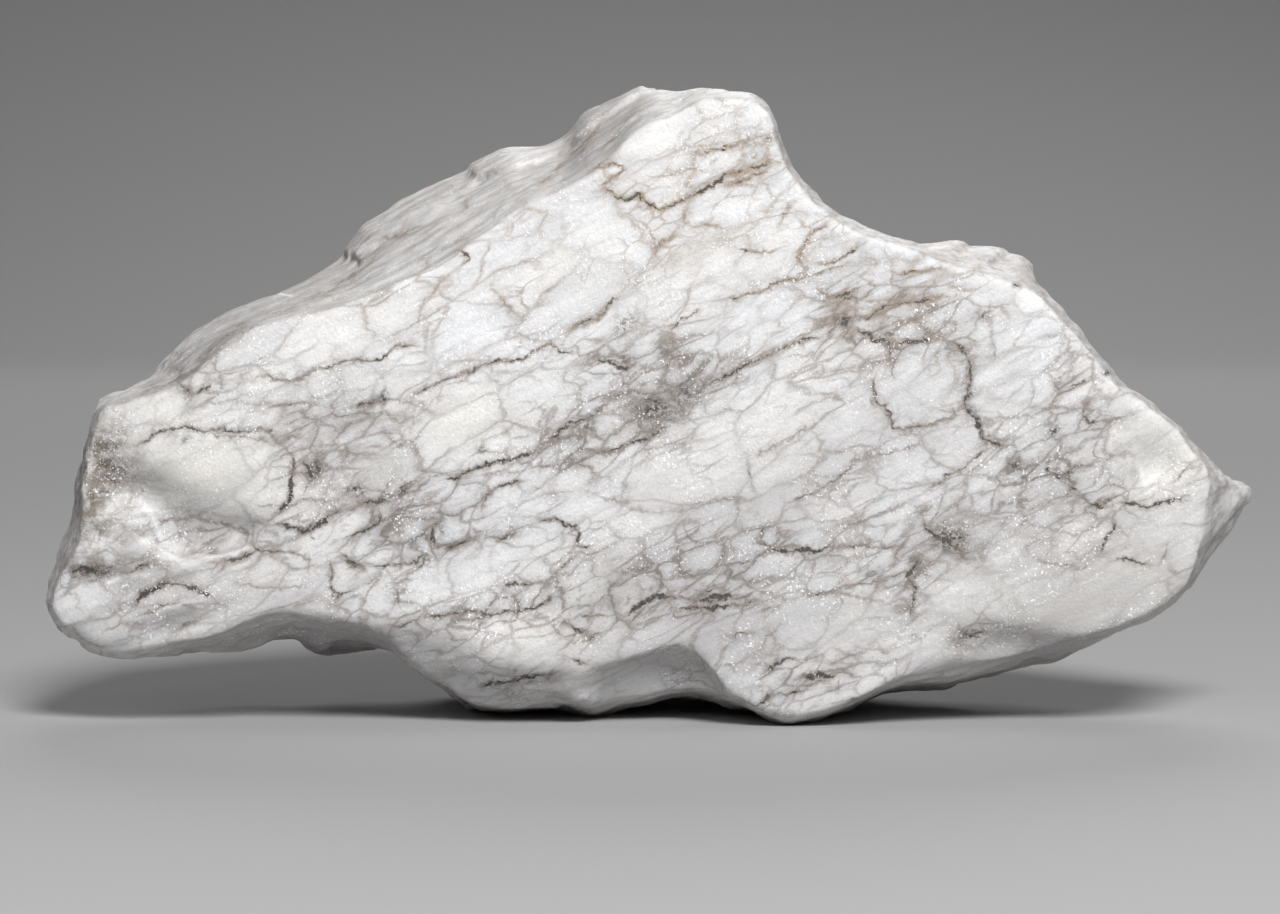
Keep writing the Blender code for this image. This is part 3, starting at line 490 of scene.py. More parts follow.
    (0.3, 62.5, 54.5, 61, 52.3, 61.2, 51),
    (0.5, 35, 65, 41, 65.5, 44, 66),
    # lower middle and right
    (0.8, 17, 29.5, 16.8, 27.8, 15.8, 27, 17.5, 25.3, 20, 24.9, 25, 25.2, 27.8, 26),
    (0.5, 27, 25.6, 30, 25.7, 34, 25.6, 38.5, 25.8),
    (0.85, 40.2, 30.5, 40.4, 28.3, 41.7, 27, 43.5, 26.6, 44.6, 25.4, 46.8, 24.2),
    (0.85, 44.5, 25.5, 45.8, 24, 47.4, 23.7),
    (0.6, 40.5, 29, 42, 29.8, 43, 31.2),
    (0.7, 38.5, 26, 38.7, 25),
    (0.7, 39, 24.5, 38.7, 22, 39.3, 21.8),
    (0.7, 37.3, 20, 38, 19.2, 39.2, 18.6),
    (0.5, 37.5, 20.2, 38.3, 21, 40, 22.3, 41.5, 23.3, 43, 24),
    (0.5, 38.3, 18, 38.5, 17, 38.3, 15.8, 39, 14.5, 38.8, 13.8),
    (0.9, 45.4, 13.2, 46.3, 12.8, 47.4, 13, 46, 12.3, 45.6, 11.5),
    (0.4, 47.5, 12.9, 49.5, 13.3, 51, 13.8),
    (0.6, 33.2, 11.5, 34, 11, 34.5, 10, 35.3, 9.5),
    (0.35, 25, 9.5, 27.5, 8.8, 29.5, 9.8, 32, 10.5, 33.2, 11.4),
    (0.4, 55, 24.4, 57, 23.5, 60, 23, 62.5, 22.5, 65.5, 23),
    (0.55, 66.5, 23.3, 68, 23.5, 70, 23.8, 72.5, 23, 74, 22.8),
    (0.5, 74.2, 22, 74.5, 23.5, 75.3, 25, 75.7, 26.5),
    (0.4, 74.5, 22.2, 76.5, 21.7, 78.5, 21.5),
    (0.85, 21.5, 6.5, 23.5, 6.7, 25.5, 6.8, 26.7, 6, 27, 6.8, 28.3, 7.5),
    (0.75, 15.8, 7, 17.5, 7.8, 19, 8.6, 20.3, 9.1, 23, 9.2),
    (0.5, 14.5, 2.6, 16.5, 3, 18, 3.7, 20, 4.3, 22, 4.6, 24.5, 5),
    (0.35, 16, 10, 16.5, 11, 17.5, 12.5, 19.5, 15, 20.3, 15.8),
    (0.4, 15.5, 16, 17, 16.5, 19.3, 17.3, 19.5, 16.8),
    (0.5, 21.3, 18.4, 23, 18.7, 25, 18.8, 30, 20, 36, 21),
    (0.6, 10.8, 14.6, 11, 15.4, 12, 15.9),
    (0.4, 10.5, 13.5, 12, 12.5, 13.5, 13, 15.5, 13, 16.8, 12.8),
    (0.6, 13, 20, 14.5, 20.6, 16, 20.9, 17.3, 21),
    (0.35, 7.3, 18.5, 8.5, 19.2, 12, 20, 13, 20),
    (0.85, -3.7, 15.5, -2.5, 16, -1.8, 16.6, -0.5, 17.2, 0, 17.5, 1.3, 18.2, 2.5, 18.5, 3.3, 17.8,
     4.4, 19, 5, 18.2),
    (0.9, 6, 17.5, 8, 17.8, 10, 18, 12, 18.2, 13.5, 18),
    (0.6, 3, 16.7, 6, 16.5, 9.5, 16.6, 13.8, 17.3, 15, 17.7, 17, 18),
    # thin brown lines between the nodules
    (0.35, -48.6, 46.2, -48, 43.8, -45.6, 43.2, -44.4, 42.3, -45, 40.2, -46.8, 39),
    (0.35, -44.4, 43.8, -42, 45, -38.4, 45, -36, 43.8, -33, 45),
    (0.35, -38.4, 43.2, -37.2, 40.8, -34.2, 40.2, -33, 39, -33, 37.2),
    (0.35, -42.6, 39.6, -40.2, 39, -37.2, 39),
    (0.3, -51, 48.6, -50.4, 46.8, -48, 46.2, -44.4, 45.6),
    (0.3, -67.2, 45, -64.2, 46.2, -60, 46.8, -56.4, 46.2, -52.8, 46.8),
    (0.4, -54, 30.6, -49.2, 32.4, -44.4, 32.1),
    (0.3, -24.6, 36.6, -22.2, 36, -18, 36.6, -15.6, 36.6),
    (0.3, -24, 39.6, -24, 40.8, -20.4, 42.6, -17, 44.5),
    (0.35, 14.6, 39, 14.8, 36.5, 15.5, 34, 16.5, 32.6),
    (0.35, -2.7, 24.7, -1.7, 22.7, 0.7, 21.3, 3.3, 21, 8.7, 21.3, 12, 21.7),
    (0.35, 4.7, 30, 6, 27.3, 7.3, 26, 10, 26, 13.3, 24.7, 15.3, 24),
    (0.4, 19.3, 31.3, 21.3, 32.3, 24.7, 33.7, 28, 36, 30.3, 38, 32.7, 38.7, 36.7, 39.7, 40.7, 40.9),
    (0.35, 39.5, 33, 36.7, 31.7, 32.7, 30, 27.3, 27.3),
    (0.35, 53.3, 30, 56.7, 28.7, 62, 27.3, 66, 28.7, 67.3, 31.3),
    (0.35, 59.3, 27.3, 56.7, 26.7, 54.7, 25.3, 56, 24),
    (0.3, 62.7, 23.3, 64.7, 23.3, 66.7, 25.3),
    (0.3, 2, 50.7, 2.7, 54.7, 4.3, 58, 6, 62, 7.3, 66),
    (0.35, 50.2, 62.3, 49.5, 59.5, 50, 56, 50.6, 53, 48.5, 52.5),
    (0.35, 47.3, 44.7, 50, 44.3, 54, 44.7, 56.7, 45, 60, 46, 62.7, 45.3, 64, 43.7),
    (0.35, -10, 34, -6, 32.7, -1.3, 31.3),
    (0.85, 38.9, 25.5, 38.9, 23, 38.2, 21, 38.9, 19, 38.2, 16.8, 38.7, 14.6),
    (0.3, -20.4, 29.8, -19, 32, -14.5, 33.4, -9, 33.6),
    (0.3, 20, 44, 24, 46.5, 30, 48),
    # streaks of the upper left flank and of the shoulder's second surface
    (0.4, -74.5, 47.3, -72.5, 48.2, -69, 49.3, -65, 51.5, -63, 54.5, -57, 59),
    (0.3, -66, 50.5, -60, 55.6, -55, 58.8, -49, 61.5),
    (0.35, -52, 60.6, -46, 62.6, -42, 65.2, -38, 68.4),
    (0.4, -40, 70, -36, 70.5, -32, 72.5),
    (0.35, -27, 77, -26, 75, -27, 73),
    (0.4, -17, 77.7, -14, 79, -12, 81.5, -9, 83.5, -6, 88),
    (0.3, -8, 81.5, -5, 84.5, -2, 88.5, 2, 90),
    (0.45, 43, 67.2, 46.5, 66.8),
    (0.4, 47, 67.5, 49.5, 67.3),
    (0.4, 52, 67, 54.5, 65.5),
)
# Pale scratches, and painted highlights along lit crests and ledges, drawn the same way
PALE_LINES = (
    (0.6, -74.6, 34, -73.5, 32.5, -72, 30.5, -71, 28.5, -70, 25.5),
    (0.5, -70, 25.8, -67, 26.5, -64.5, 25.5),
    (0.5, -72.5, 31.5, -70.5, 30.5, -68, 30),
    (0.5, -76, 25, -72.5, 26.6, -70, 27.6),
    (0.6, -80, 19.6, -76, 21.2, -71, 21.6),
    (0.5, -82.5, 17, -77, 17.6, -73.5, 19.4),
    (0.5, -72, 16.2, -66, 17.6, -60, 17.8),
    (0.45, -72, 26.2, -68.5, 24, -66, 22, -63, 20.5),
    (0.4, -70, 24, -66, 22.8, -62, 21.5),
    (0.6, -66, 24.4, -63, 24, -60, 24.6, -57, 26),
    (0.5, -80, 26, -76.5, 28.4),
    (0.6, 71.5, 39.3, 71, 37.5, 72, 35.5, 73, 33.5),
)
PALE_WIDTH = 0.24  # half width of a pale line
VEIN_REACH = 1.25  # how far from a vein its attribute reaches, to either side
VEINS_APART = 3.0  # least distance between the veins that share an attribute
VEIN_END = 2.6  # length over which a vein fades at its ends
VEIN_TIP = 0.2  # share of its darkness that it has at the very end
DOT_STEP = 0.5  # how far apart the points are by which veins are told to lie apart
HAZE_REACH = 2.4  # how far the haze spreads around a dark vein
HAZE_SHARE = 0.6  # and how strong it is there
MARK_FACING = (0.02, 0.2)  # how far a point looks forward until it is marked
MARK_REACH = (40.0, 34.0)  # and how deep it lies
GREY_AND_PAINTED_SHADE_MOST = 0.8  # most that spots which overlap add up to
TINT_MOST = 1.2

# Dark smudges and specks: x, z, half length, half width, rise in degrees and how dark
SMUDGES = (
    (-66.7, 41.5, 0.6, 0.5, 0, 0.7),
    (-38.3, 47, 0.6, 0.5, 20, 0.7),
    (-42.5, 33.9, 1.2, 0.7, 20, 0.9),
    (-24.3, 39.3, 0.6, 0.7, 0, 0.8),
    (-48, 37, 1.2, 2.2, 0, 0.55),
    (-80.5, 22.2, 3.2, 0.8, -4, 0.8),
    (-79.5, 28.5, 0.9, 0.6, 10, 0.5),
    (-76, 26.3, 0.9, 0.5, 10, 0.4),
    (-3, 57.8, 2.2, 1.5, 35, 0.5),
    (3.5, 54.3, 1.6, 1.3, 30, 0.35),
    (2.5, 52.5, 0.4, 0.4, 0, 0.6),
    (1.2, 45.6, 2.8, 1.5, 8, 0.75),
    (6, 47.8, 2.4, 1.6, 35, 0.6),
    (-8.8, 43.2, 1.5, 1, 20, 0.65),
    (28, 58.6, 1.2, 1, 0, 0.6),
    (48.5, 59, 0.4, 0.4, 0, 0.6),
    (66.6, 50.8, 0.5, 0.4, 0, 0.8),
    (58.8, 42.5, 0.9, 0.8, 0, 0.8),
    (44.2, 26.6, 2.4, 1.5, -8, 0.9),
    (45, 32, 0.5, 0.4, 0, 0.6),
    (46.5, 13, 1.1, 0.7, 0, 0.7),
    (53.5, 63.5, 0.5, 0.4, 0, 0.8),
    (14.3, 84.3, 0.5, 0.5, 0, 0.7),
    (17.6, 84.4, 0.5, 0.6, 0, 0.7),
    (-23.3, 15.7, 0.8, 0.5, 0, 0.7),
    (-14.2, 17.8, 0.9, 0.5, 10, 0.6),
    (-20.2, 20, 0.5, 0.5, 0, 0.6),
    (-27.5, 26, 1.3, 0.5, 12, 0.7),
    (67, 31.5, 0.6, 0.9, 0, 0.6),
    (53, 38, 0.9, 1, 0, 0.35),
    (35.3, 55.3, 0.9, 1.5, -15, 0.6),
    (47, 45, 0.9, 0.9, 0, 0.6),
    (39, 23, 0.6, 1.4, 10, 0.6),
    (38.6, 20, 0.6, 1, 0, 0.55),
    (59.3, 36.7, 0.8, 1.2, 0, 0.55),
    (-2.7, 52.6, 1.3, 0.8, 10, 0.6),
    (3.6, 44.6, 1.4, 0.9, 15, 0.7),
    (-66.3, 47.9, 0.5, 0.9, 20, 0.6),
    (-78, 40.2, 1.6, 1, 0, 0.6),
    (-77.6, 36.8, 2, 1.6, 20, 0.5),
    (-79.3, 33.2, 1.8, 0.9, 20, 0.7),
    (-26.9, 67.7, 0.8, 0.5, 0, 0.15),
    (-41.6, 33.6, 0.8, 0.9, 0, 0.7),
    (-35.3, 33.6, 1.1, 0.9, 30, 0.7),
    (-29.8, 28, 0.7, 1.6, 10, 0.5),
    (-20, 27.3, 2.4, 0.7, 10, 0.5),
    (-9.6, 40.6, 1.4, 0.8, 10, 0.4),
    (11, 90, 0.7, 0.4, 0, 0.4),
    (-51, 49.3, 0.8, 0.5, 0, 0.45),
    (23.5, 6.8, 1, 0.4, 8, 0.6),
    (30, 3.4, 0.6, 0.4, 0, 0.5),
)

# Greyer parts of the front face: x, z, half length, half width, rise in degrees and strength.
# Some are the stone's grey tone, some darken it towards the foot, and some are painted shade:
# in the scoop under the cream lobe, in grooves at the lower left, in the right dent, under the
# arch, and on a part that faces the key light.
GREY_AND_PAINTED_SHADE = (
    (28, 38, 24, 8, 27, 0.36),
    (8, 26, 22, 7, 22, 0.22),
    (2, 35, 9, 5, 20, 0.2),
    (14, 13, 22, 8, 8, 0.58),
    (66, 18, 20, 8, 16, 0.64),
    (-34, 29.5, 7, 3, 12, 0.35),
    # painted shade: the scoop under the cream lobe and its tail
    (-64, 26.5, 8, 3.2, -10, 0.42),
    (-73, 34, 5, 2.6, -35, 0.35),
    (-38, 36.5, 5, 4, 15, 0.4),
    (-72, 17, 13, 6, 8, 0.55),
    # painted shade under the edge of the arch, and in a groove at the lower left
    (-52, 18, 9, 2, 4, 0.3),
    (-69, 16.2, 6.5, 1.3, 15, 0.4),
    # painted shade on a part that faces the key light
    (-74.5, 26.5, 4, 5, 0, 0.25),
    (-30, 9, 6, 6, -40, 0.35),
    (-5, 20, 7, 5, 20, 0.15),
    (1, 46, 8, 5, 20, 0.46),
    (45, 27.5, 5, 4, 20, 0.5),
    (55, 30, 12, 7, 25, 0.2),
    (-44, 45, 8, 4.5, 5, 0.3),
    (-16, 44, 6, 3, 15, 0.15),
    (9, 86, 6, 3.5, 20, 0.12),
    (-57, 58.5, 26, 3.4, 31, 0.4),
    (-8, 84.5, 9, 3.2, 46, 0.68),
    # painted shade: the right dent and the roof of the arch
    (55, 10.6, 10, 2.2, 3, 0.6),
    (-47.5, 12.4, 12, 2.6, 2, 1),
    (3, 8.6, 7, 2, 0, 0.3),
    (-78, 37, 3.6, 5, 10, 0.4),
    (36, 57.5, 9, 5, 15, 0.25),
    (60, 35, 9, 6, 25, 0.14),
)

# Soft tints of the front face: which one, x, z, half length, half width, rise and strength
TINTS = (
    ("cream", -64.5, 36.5, 12, 6, -8, 1.1),
    ("cream", -38, 36.5, 4.5, 3.8, 15, 1),
    ("cream", -27, 44, 7, 3.5, 12, 0.9),
    ("cream", -7, 67, 8, 6.5, 20, 0.45),
    ("cream", 66, 19, 17, 7.5, 16, 0.9),
    ("cream", 75, 38, 8, 9, -40, 0.8),
    ("cream", -72, 46, 7, 2.4, 14, 0.6),
    ("cream", -62, 22, 16, 3.5, -4, 0.4),
    ("cream", -5, 20, 5, 4.5, 20, 0.7),
    ("cream", -20, 11.5, 10, 4, 6, 0.5),
    ("cream", 30, 14, 9, 4, 12, 0.4),
    ("cream", -60, 57, 18, 6, 35, 0.4),
    ("haze", 2, 48.5, 11, 6.5, 28, 1),
    ("haze", 6, 21.5, 17, 7, 14, 0.7),
    ("haze", 36, 23, 8, 4, 25, 0.6),
    ("haze", -34, 29.5, 11, 5, 18, 0.85),
    ("haze", -12, 39, 5, 3, 10, 0.6),
    ("haze", 58, 34, 12, 6, 15, 0.7),
    ("haze", 61, 47, 6, 6, 30, 0.4),
    ("haze", 35, 58.5, 11, 6, 10, 0.7),
    ("haze", -44, 42, 9, 6, 5, 0.5),
    ("haze", -16, 16.5, 18, 3, 8, 0.6),
    ("haze", 24, 7, 12, 4, 12, 0.4),
    ("haze", -64, 26.5, 9, 3.4, -6, 0.5),
    ("brown", -78.6, 38, 4.6, 5.6, 10, 1.3),
    ("brown", -80.8, 31, 2, 5, 0, 0.9),
    ("brown", -78.6, 27, 3.2, 2.6, 0, 0.8),
    ("brown", -80, 22, 5, 2, 0, 0.8),
    ("brown", -44, 38, 3.5, 6, 0, 0.5),
    ("brown", -51, 40, 4, 5, 20, 0.4),
    ("brown", 44, 26.5, 6, 4, 0, 0.7),
    ("brown", 2, 46, 7, 3.5, 15, 0.6),
    ("brown", 31, 59, 7, 4, 15, 0.45),
    ("brown", 14, 82, 8, 4, 20, 0.4),
    ("brown", 53, 19, 4, 4, 20, 0.4),
    ("brown", 59, 42, 3, 3, 0, 0.4),
    ("brown", 47, 12.5, 4, 2.5, 0, 0.5),
)

# The material's colours
WHITE = (0.845, 0.84, 0.835, 1.0)
COOL = (0.82, 0.827, 0.845, 1.0)
CREAM = (0.79, 0.77, 0.715, 1.0)
GREY = (0.37, 0.355, 0.355, 1.0)
BROWN = (0.2, 0.168, 0.125, 1.0)
LINE = (0.235, 0.198, 0.17, 1.0)
TOP_LINE = (0.3, 0.225, 0.155, 1.0)
DARK_LINE = (0.12, 0.105, 0.095, 1.0)
VEIN = (0.04, 0.034, 0.029, 1.0)
# near-white of the pale scratches, and of painted highlights and glints
PALE_AND_GLINT = (0.96, 0.96, 0.97, 1.0)
SIDE = (0.54, 0.515, 0.5, 1.0)
SIDE_PALE = (0.77, 0.755, 0.74, 1.0)

# Its nodules, fibres and lines. Sizes go along the layering, through the block and across it.
NODULE_SIZE = (2.0, 1.4, 1.0)
NODULES = 0.15  # how many there are per millimetre across the layering
SMALL_NODULES = 0.34
FIBRE_SIZE = (12.0, 3.0, 1.1)
TOP_HEIGHTS = (48.0, 74.0)  # heights between which the thin lines turn browner
NET_SHARE = (0.42, 0.72)  # how dark the net of thin lines is, on the sides and on the front face
JAG = 1.7  # how widely a vein's line wanders
FRET = 1.4  # and how widely its fine jags do
CORE_WIDTH = (0.46, 0.06)  # half width of a vein's core: what full darkness adds, and the least
RIM_WIDTH = (0.55, 0.12)  # half width of its brown rim, in the same way
GLOW_WIDTH = 1.25
ROUGHNESS = (0.42, 0.62)  # of dark grains and of pale ones
RELIEF_SIZE = (6.0, 2.0, 1.0)
RELIEF_HEIGHT = 0.4

# The floor, which ends in a backdrop behind the block, in metres
PAPER = (0.4, 0.4, 0.402, 1.0)
FLOOR_REACH = 8.0  # to the front and to the sides
FLOOR_END = 1.6  # where it starts to bend up
FLOOR_BEND = 0.8  # radius of the bend
BACKDROP_TOP = 3.0

# Lamps: name, azimuth and elevation in degrees, distance and size in metres, and watts
LAMPS = (
    ("key", 12.0, 38.0, 1.5, 0.5, 26.5),
    ("fill", -25.0, 32.0, 2.0, 1.1, 2.6),
    ("back", 176.0, 34.0, 2.0, 1.1, 11.0),
)
LIT_HEIGHT = 0.045  # height of the point that they look at, in metres

# The camera, in millimetres
SENSOR = 36.0
FRAME_WIDTH = 185.5  # how much of the front face's plane the frame spans
AIM = (-1.6, FRONT_Y, 39.65)


def smoothstep(low, high, value):
    t = np.clip((value - low) / (high - low), 0.0, 1.0)
    return t * t * (3.0 - 2.0 * t)


def smooth_loop(rows, steps):
    """Points on one smooth closed curve through the rows."""
    rows = np.asarray(rows, float)
    before, after, far = (np.roll(rows, shift, axis=0) for shift in (1, -1, -2))
    parts = []
    for step in range(steps):
        t = step / steps
        parts.append(
            0.5 * (
                2.0 * rows
                + (after - before) * t
                + (2.0 * before - 5.0 * rows + 4.0 * after - far) * t**2
                + (3.0 * rows - before - 3.0 * after + far) * t**3
            )
        )
    return np.stack(parts, axis=1).reshape(-1, rows.shape[1])


def from_view(x, z, depth):
    """Real x, depth and z of points that the front view shows at x and z."""
    level = VIEW_DISTANCE * math.cos(VIEW_RISE)
    eye_z = VIEW_CENTRE[1] + VIEW_DISTANCE * math.sin(VIEW_RISE)
    grow = 1.0 + depth / level
    return np.stack(
        (VIEW_CENTRE[0] + (x - VIEW_CENTRE[0]) * grow, depth + 0.0 * x, eye_z + (z - eye_z) * grow),
        axis=-1,
    )


def beside(line, x, z):
    """How far x and z lie to the right of a line, and how far in from its nearer end."""
    line = np.asarray(line, float)
    nearest = np.full(x.shape, np.inf)
    side = np.zeros(x.shape)
    along = np.zeros(x.shape)
    lengths = np.hypot(*(line[1:] - line[:-1]).T)
    passed = np.concatenate(([0.0], np.cumsum(lengths)))
    for start, end, length, begin in zip(line[:-1], line[1:], lengths, passed):
        way = (end - start) / length
        off_x, off_z = x - start[0], z - start[1]
        run = np.clip(off_x * way[0] + off_z * way[1], 0.0, length)
        gap = np.hypot(off_x - run * way[0], off_z - run * way[1])
        closer = gap < nearest
        right = np.sign(off_x * way[1] - off_z * way[0])
        nearest = np.where(closer, gap, nearest)
        side = np.where(closer, right, side)
        along = np.where(closer, begin + run, along)
    return side * nearest, np.minimum(along, passed[-1] - along)


def soft_spot(row, x, z):
    """How strong a spot is at x and z, from its row in one of the tables."""
    at_x, at_z, length, width, rise, strength = row
    c, s = math.cos(math.radians(rise)), math.sin(math.radians(rise))
    u = ((x - at_x) * c + (z - at_z) * s) / length
    v = ((z - at_z) * c - (x - at_x) * s) / width
    return strength * np.exp(-(u * u + v * v))


def face_depth(x, z):
    """Depth of the front face's surface: its bends, hollows, scarps and bevels."""
    depth = ROLL_DEPTH * smoothstep(ROLL_TOP, 0.0, z)
    depth = depth * smoothstep(*ROLL_IN, x) * smoothstep(*ROLL_OUT, x)
    for axis, begin, length, deep in BENDS:
        depth += deep * np.clip(((x if axis == "x" else z) - begin) / length, 0.0, None) ** 2
    for row in HOLLOWS:
        depth += soft_spot(row, x, z)
    for drop, run, wall, line in SCARPS:
        across, end = beside(line, x, z)
        fall = smoothstep(0.0, wall, across) * np.exp(-((np.clip(across, 0.0, None) / run) ** 2))
        depth += drop * fall * smoothstep(0.0, SCARP_END, end)
    for steep, bend, line in BEVELS:
        across, end = beside(line, x, z)
        fall = np.hypot(np.clip(across, 0.0, None), bend) - bend
        depth += steep * fall * smoothstep(0.0, SCARP_END, end)
    return depth


def rings():
    """Rings of points from the middle of the front to the middle of the back."""
    rim = smooth_loop(RIM, STEPS_PER_ROW)
    edge_x, edge_z, wide_x, wide_z, wide_depth = rim.T
    made = []
    for share in np.linspace(0.0, 1.0, FRONT_RINGS + 1)[1:]:
        x = HEART[0] + (edge_x - HEART[0]) * share
        z = HEART[1] + (edge_z - HEART[1]) * share
        worn = EDGE_ROUND * np.clip((share - 1.0 + EDGE_BAND) / EDGE_BAND, 0.0, 1.0) ** 2
        made.append(from_view(x, z, face_depth(x, z) + worn))
    edge = made[-1]
    wide = from_view(wide_x, wide_z, np.maximum(wide_depth, edge[:, 1] + LEAST_SIDE))
    for share in np.linspace(0.0, 1.0, SIDE_RINGS + 1)[1:]:
        out = 1.0 - (1.0 - share) ** SIDE_BULGE
        made.append(edge + (wide - edge) * np.array([out, share, out]))
    inward = np.stack((HEART[0] - wide[:, 0], HEART[1] - wide[:, 2]), axis=-1)
    inward /= np.linalg.norm(inward, axis=1, keepdims=True)
    under = smoothstep(*UNDERSIDE, inward[:, 1])
    inset = BACK_INSET_TOP + (BACK_INSET_FOOT - BACK_INSET_TOP) * under
    for share in np.linspace(0.0, 1.0, SIDE_RINGS + 1)[1:]:
        pull = (inset * share**BACK_BULGE)[:, None] * inward
        depth = wide[:, 1] + (BACK_DEPTH - wide[:, 1]) * share
        made.append(np.stack((wide[:, 0] + pull[:, 0], depth, wide[:, 2] + pull[:, 1]), axis=-1))
    back = made[-1]
    for share in np.linspace(1.0, 0.0, BACK_RINGS + 1)[1:-1]:
        x = HEART[0] + (back[:, 0] - HEART[0]) * share
        z = HEART[1] + (back[:, 2] - HEART[1]) * share
        depth = THICKNESS + (BACK_DEPTH - THICKNESS) * share**2
        made.append(np.stack((x, depth + 0.0 * x, z), axis=-1))
    return made


def loft(made):
    """A closed mesh over the rings, with a fan of faces at either end."""
    mesh = bpy.data.meshes.new("blank")
    bm = bmesh.new()
    loops = [[bm.verts.new(Vector(point) * MM) for point in ring] for ring in made]
    count = len(loops[0])
    for near, far in zip(loops[:-1], loops[1:]):
        for i in range(count):
            j = (i + 1) % count
            bm.faces.new((near[i], near[j], far[j], far[i]))
    for loop, depth in ((loops[0], face_depth(*np.array(HEART))), (loops[-1], THICKNESS)):
        pole = bm.verts.new(Vector((HEART[0], float(depth), HEART[1])) * MM)
        for i in range(count):
            bm.faces.new((loop[i], loop[(i + 1) % count], pole))
    bmesh.ops.recalc_face_normals(bm, faces=bm.faces)
    bm.to_mesh(mesh)
    bm.free()
    return mesh


def with_modifier(mesh, kind, **settings):
    """The mesh as one modifier leaves it."""
    obj = bpy.data.objects.new("worked", mesh)
    bpy.context.scene.collection.objects.link(obj)
    modifier = obj.modifiers.new(kind.title(), kind)
    for name, value in settings.items():
        setattr(modifier, name, value)
    graph = bpy.context.evaluated_depsgraph_get()
    made = bpy.data.meshes.new_from_object(obj.evaluated_get(graph))
    bpy.data.objects.remove(obj, do_unlink=True)
    bpy.data.meshes.remove(mesh)
    return made


def points_of(mesh):
    """Points of a mesh in millimetres."""
    points = np.empty(len(mesh.vertices) * 3, np.float32)
    mesh.vertices.foreach_get("co", points)
    return points.reshape(-1, 3).astype(float) / MM


def normals_of(mesh):
    normals = np.empty(len(mesh.vertices) * 3, np.float32)
    mesh.vertices.foreach_get("normal", normals)
    return normals.reshape(-1, 3).astype(float)


def move_points(mesh, points):
    mesh.vertices.foreach_set("co", (points * MM).astype(np.float32).ravel())
    mesh.update()


def break_faces(points):
    """Breaks the block back to each of the hollow faces in BREAKS."""
    for deepest, facing, radius in BREAKS:
        facing = np.array(facing) / np.linalg.norm(facing)
        centre = np.array(deepest) + facing * radius
        away = points - centre
        distance = np.linalg.norm(away, axis=1, keepdims=True)
        points = np.where(distance < radius, centre + away / distance * radius, points)
    return points


def along_layers(points, size):
    """The points in the layering's own directions, as multiples of a size along each."""
    c, s = math.cos(LAYER_RISE), math.sin(LAYER_RISE)
    x, depth, z = points.T
    places = ((x * c + z * s) / size[0], depth / size[1], (z * c - x * s) / size[2])
    return np.stack(places, axis=-1)


def noise_at(places, octaves):
    """Smooth noise between about -1 and 1, the same on every run."""
    return np.array([noise.fractal(Vector(place), 1.0, 2.1, octaves) for place in places])


def layered_noise(points, normals, streak_size, band_size):
    """Noise drawn out as streaks on surfaces that lie with the layering, and as bands across it."""
    c, s = math.cos(LAYER_RISE), math.sin(LAYER_RISE)
    along = smoothstep(*STREAKS_FROM, np.abs(normals[:, 2] * c - normals[:, 0] * s))
    streaks = noise_at(along_layers(points, streak_size), 3)
    bands = noise_at(along_layers(points, band_size), 3)
    return along * streaks + (1.0 - along) * bands


def roughen(mesh):
    """Raises ridges, ledges and pits on the broken sides, and a little on the front face."""
    points, normals = points_of(mesh), normals_of(mesh)
    flat = smoothstep(*FRONT_FACING, -normals[:, 1]) * smoothstep(*FRONT_REACH, points[:, 1])
    outline = np.exp(-((normals[:, 1] / OUTLINE_BAND) ** 2))
    share = 1.0 + (FRONT_SHARE - 1.0) * flat + (OUTLINE_SHARE - 1.0) * outline
    share *= FRONT_SHARE + (1.0 - FRONT_SHARE) * smoothstep(0.0, EDGE_CALM, points[:, 1])
    ridge = layered_noise(points, normals, STREAK_SIZE, BAND_SIZE)
    level = points[:, 2] * math.cos(LAYER_RISE) - points[:, 0] * math.sin(LAYER_RISE)
    climb = level / LEDGE_STEP + LEDGE_WANDER * noise_at(along_layers(points, LEDGE_SIZE), 2)
    ledge = smoothstep(*LEDGE_WALL, climb - np.floor(climb))
    pit = noise_at(points / PIT_SIZE, 3)
    rise = RIDGE_HEIGHT * ridge + PIT_HEIGHT * pit + LEDGE_HEIGHT * (0.5 - ledge) * (1.0 - flat)
    move_points(mesh, points + normals * (rise * share - SHRINK)[:, None])


def draw_down_feet(mesh):
    """Lowers the underside at each foot, so that the block stands on them."""
    points, normals = points_of(mesh), normals_of(mesh)
    below = smoothstep(*FOOT_FACING, normals[:, 2]) * smoothstep(*FOOT_REACH, points[:, 2])
    for at_x, at_depth, radius, drop in FEET:
        near = np.hypot(points[:, 0] - at_x, points[:, 1] - at_depth) / radius
        points[:, 2] -= drop * below * np.exp(-(near**4))
    move_points(mesh, points)


def stand(mesh):
    """Moves the block to its place over the origin, and grinds its feet flat at z = 0."""
    mesh.transform(Matrix.Translation(Vector((MIDDLE_X, FRONT_Y, RAISE)) * MM))
    bm = bmesh.new()
    bm.from_mesh(mesh)
    everything = bm.verts[:] + bm.edges[:] + bm.faces[:]
    bmesh.ops.bisect_plane(
        bm, geom=everything, dist=1e-7, plane_co=(0, 0, 0), plane_no=(0, 0, -1), clear_outer=True
    )
    keep_largest(bm)
    bmesh.ops.holes_fill(bm, edges=[edge for edge in bm.edges if edge.is_boundary], sides=0)
    bmesh.ops.recalc_face_normals(bm, faces=bm.faces)
    bm.to_mesh(mesh)
    bm.free()


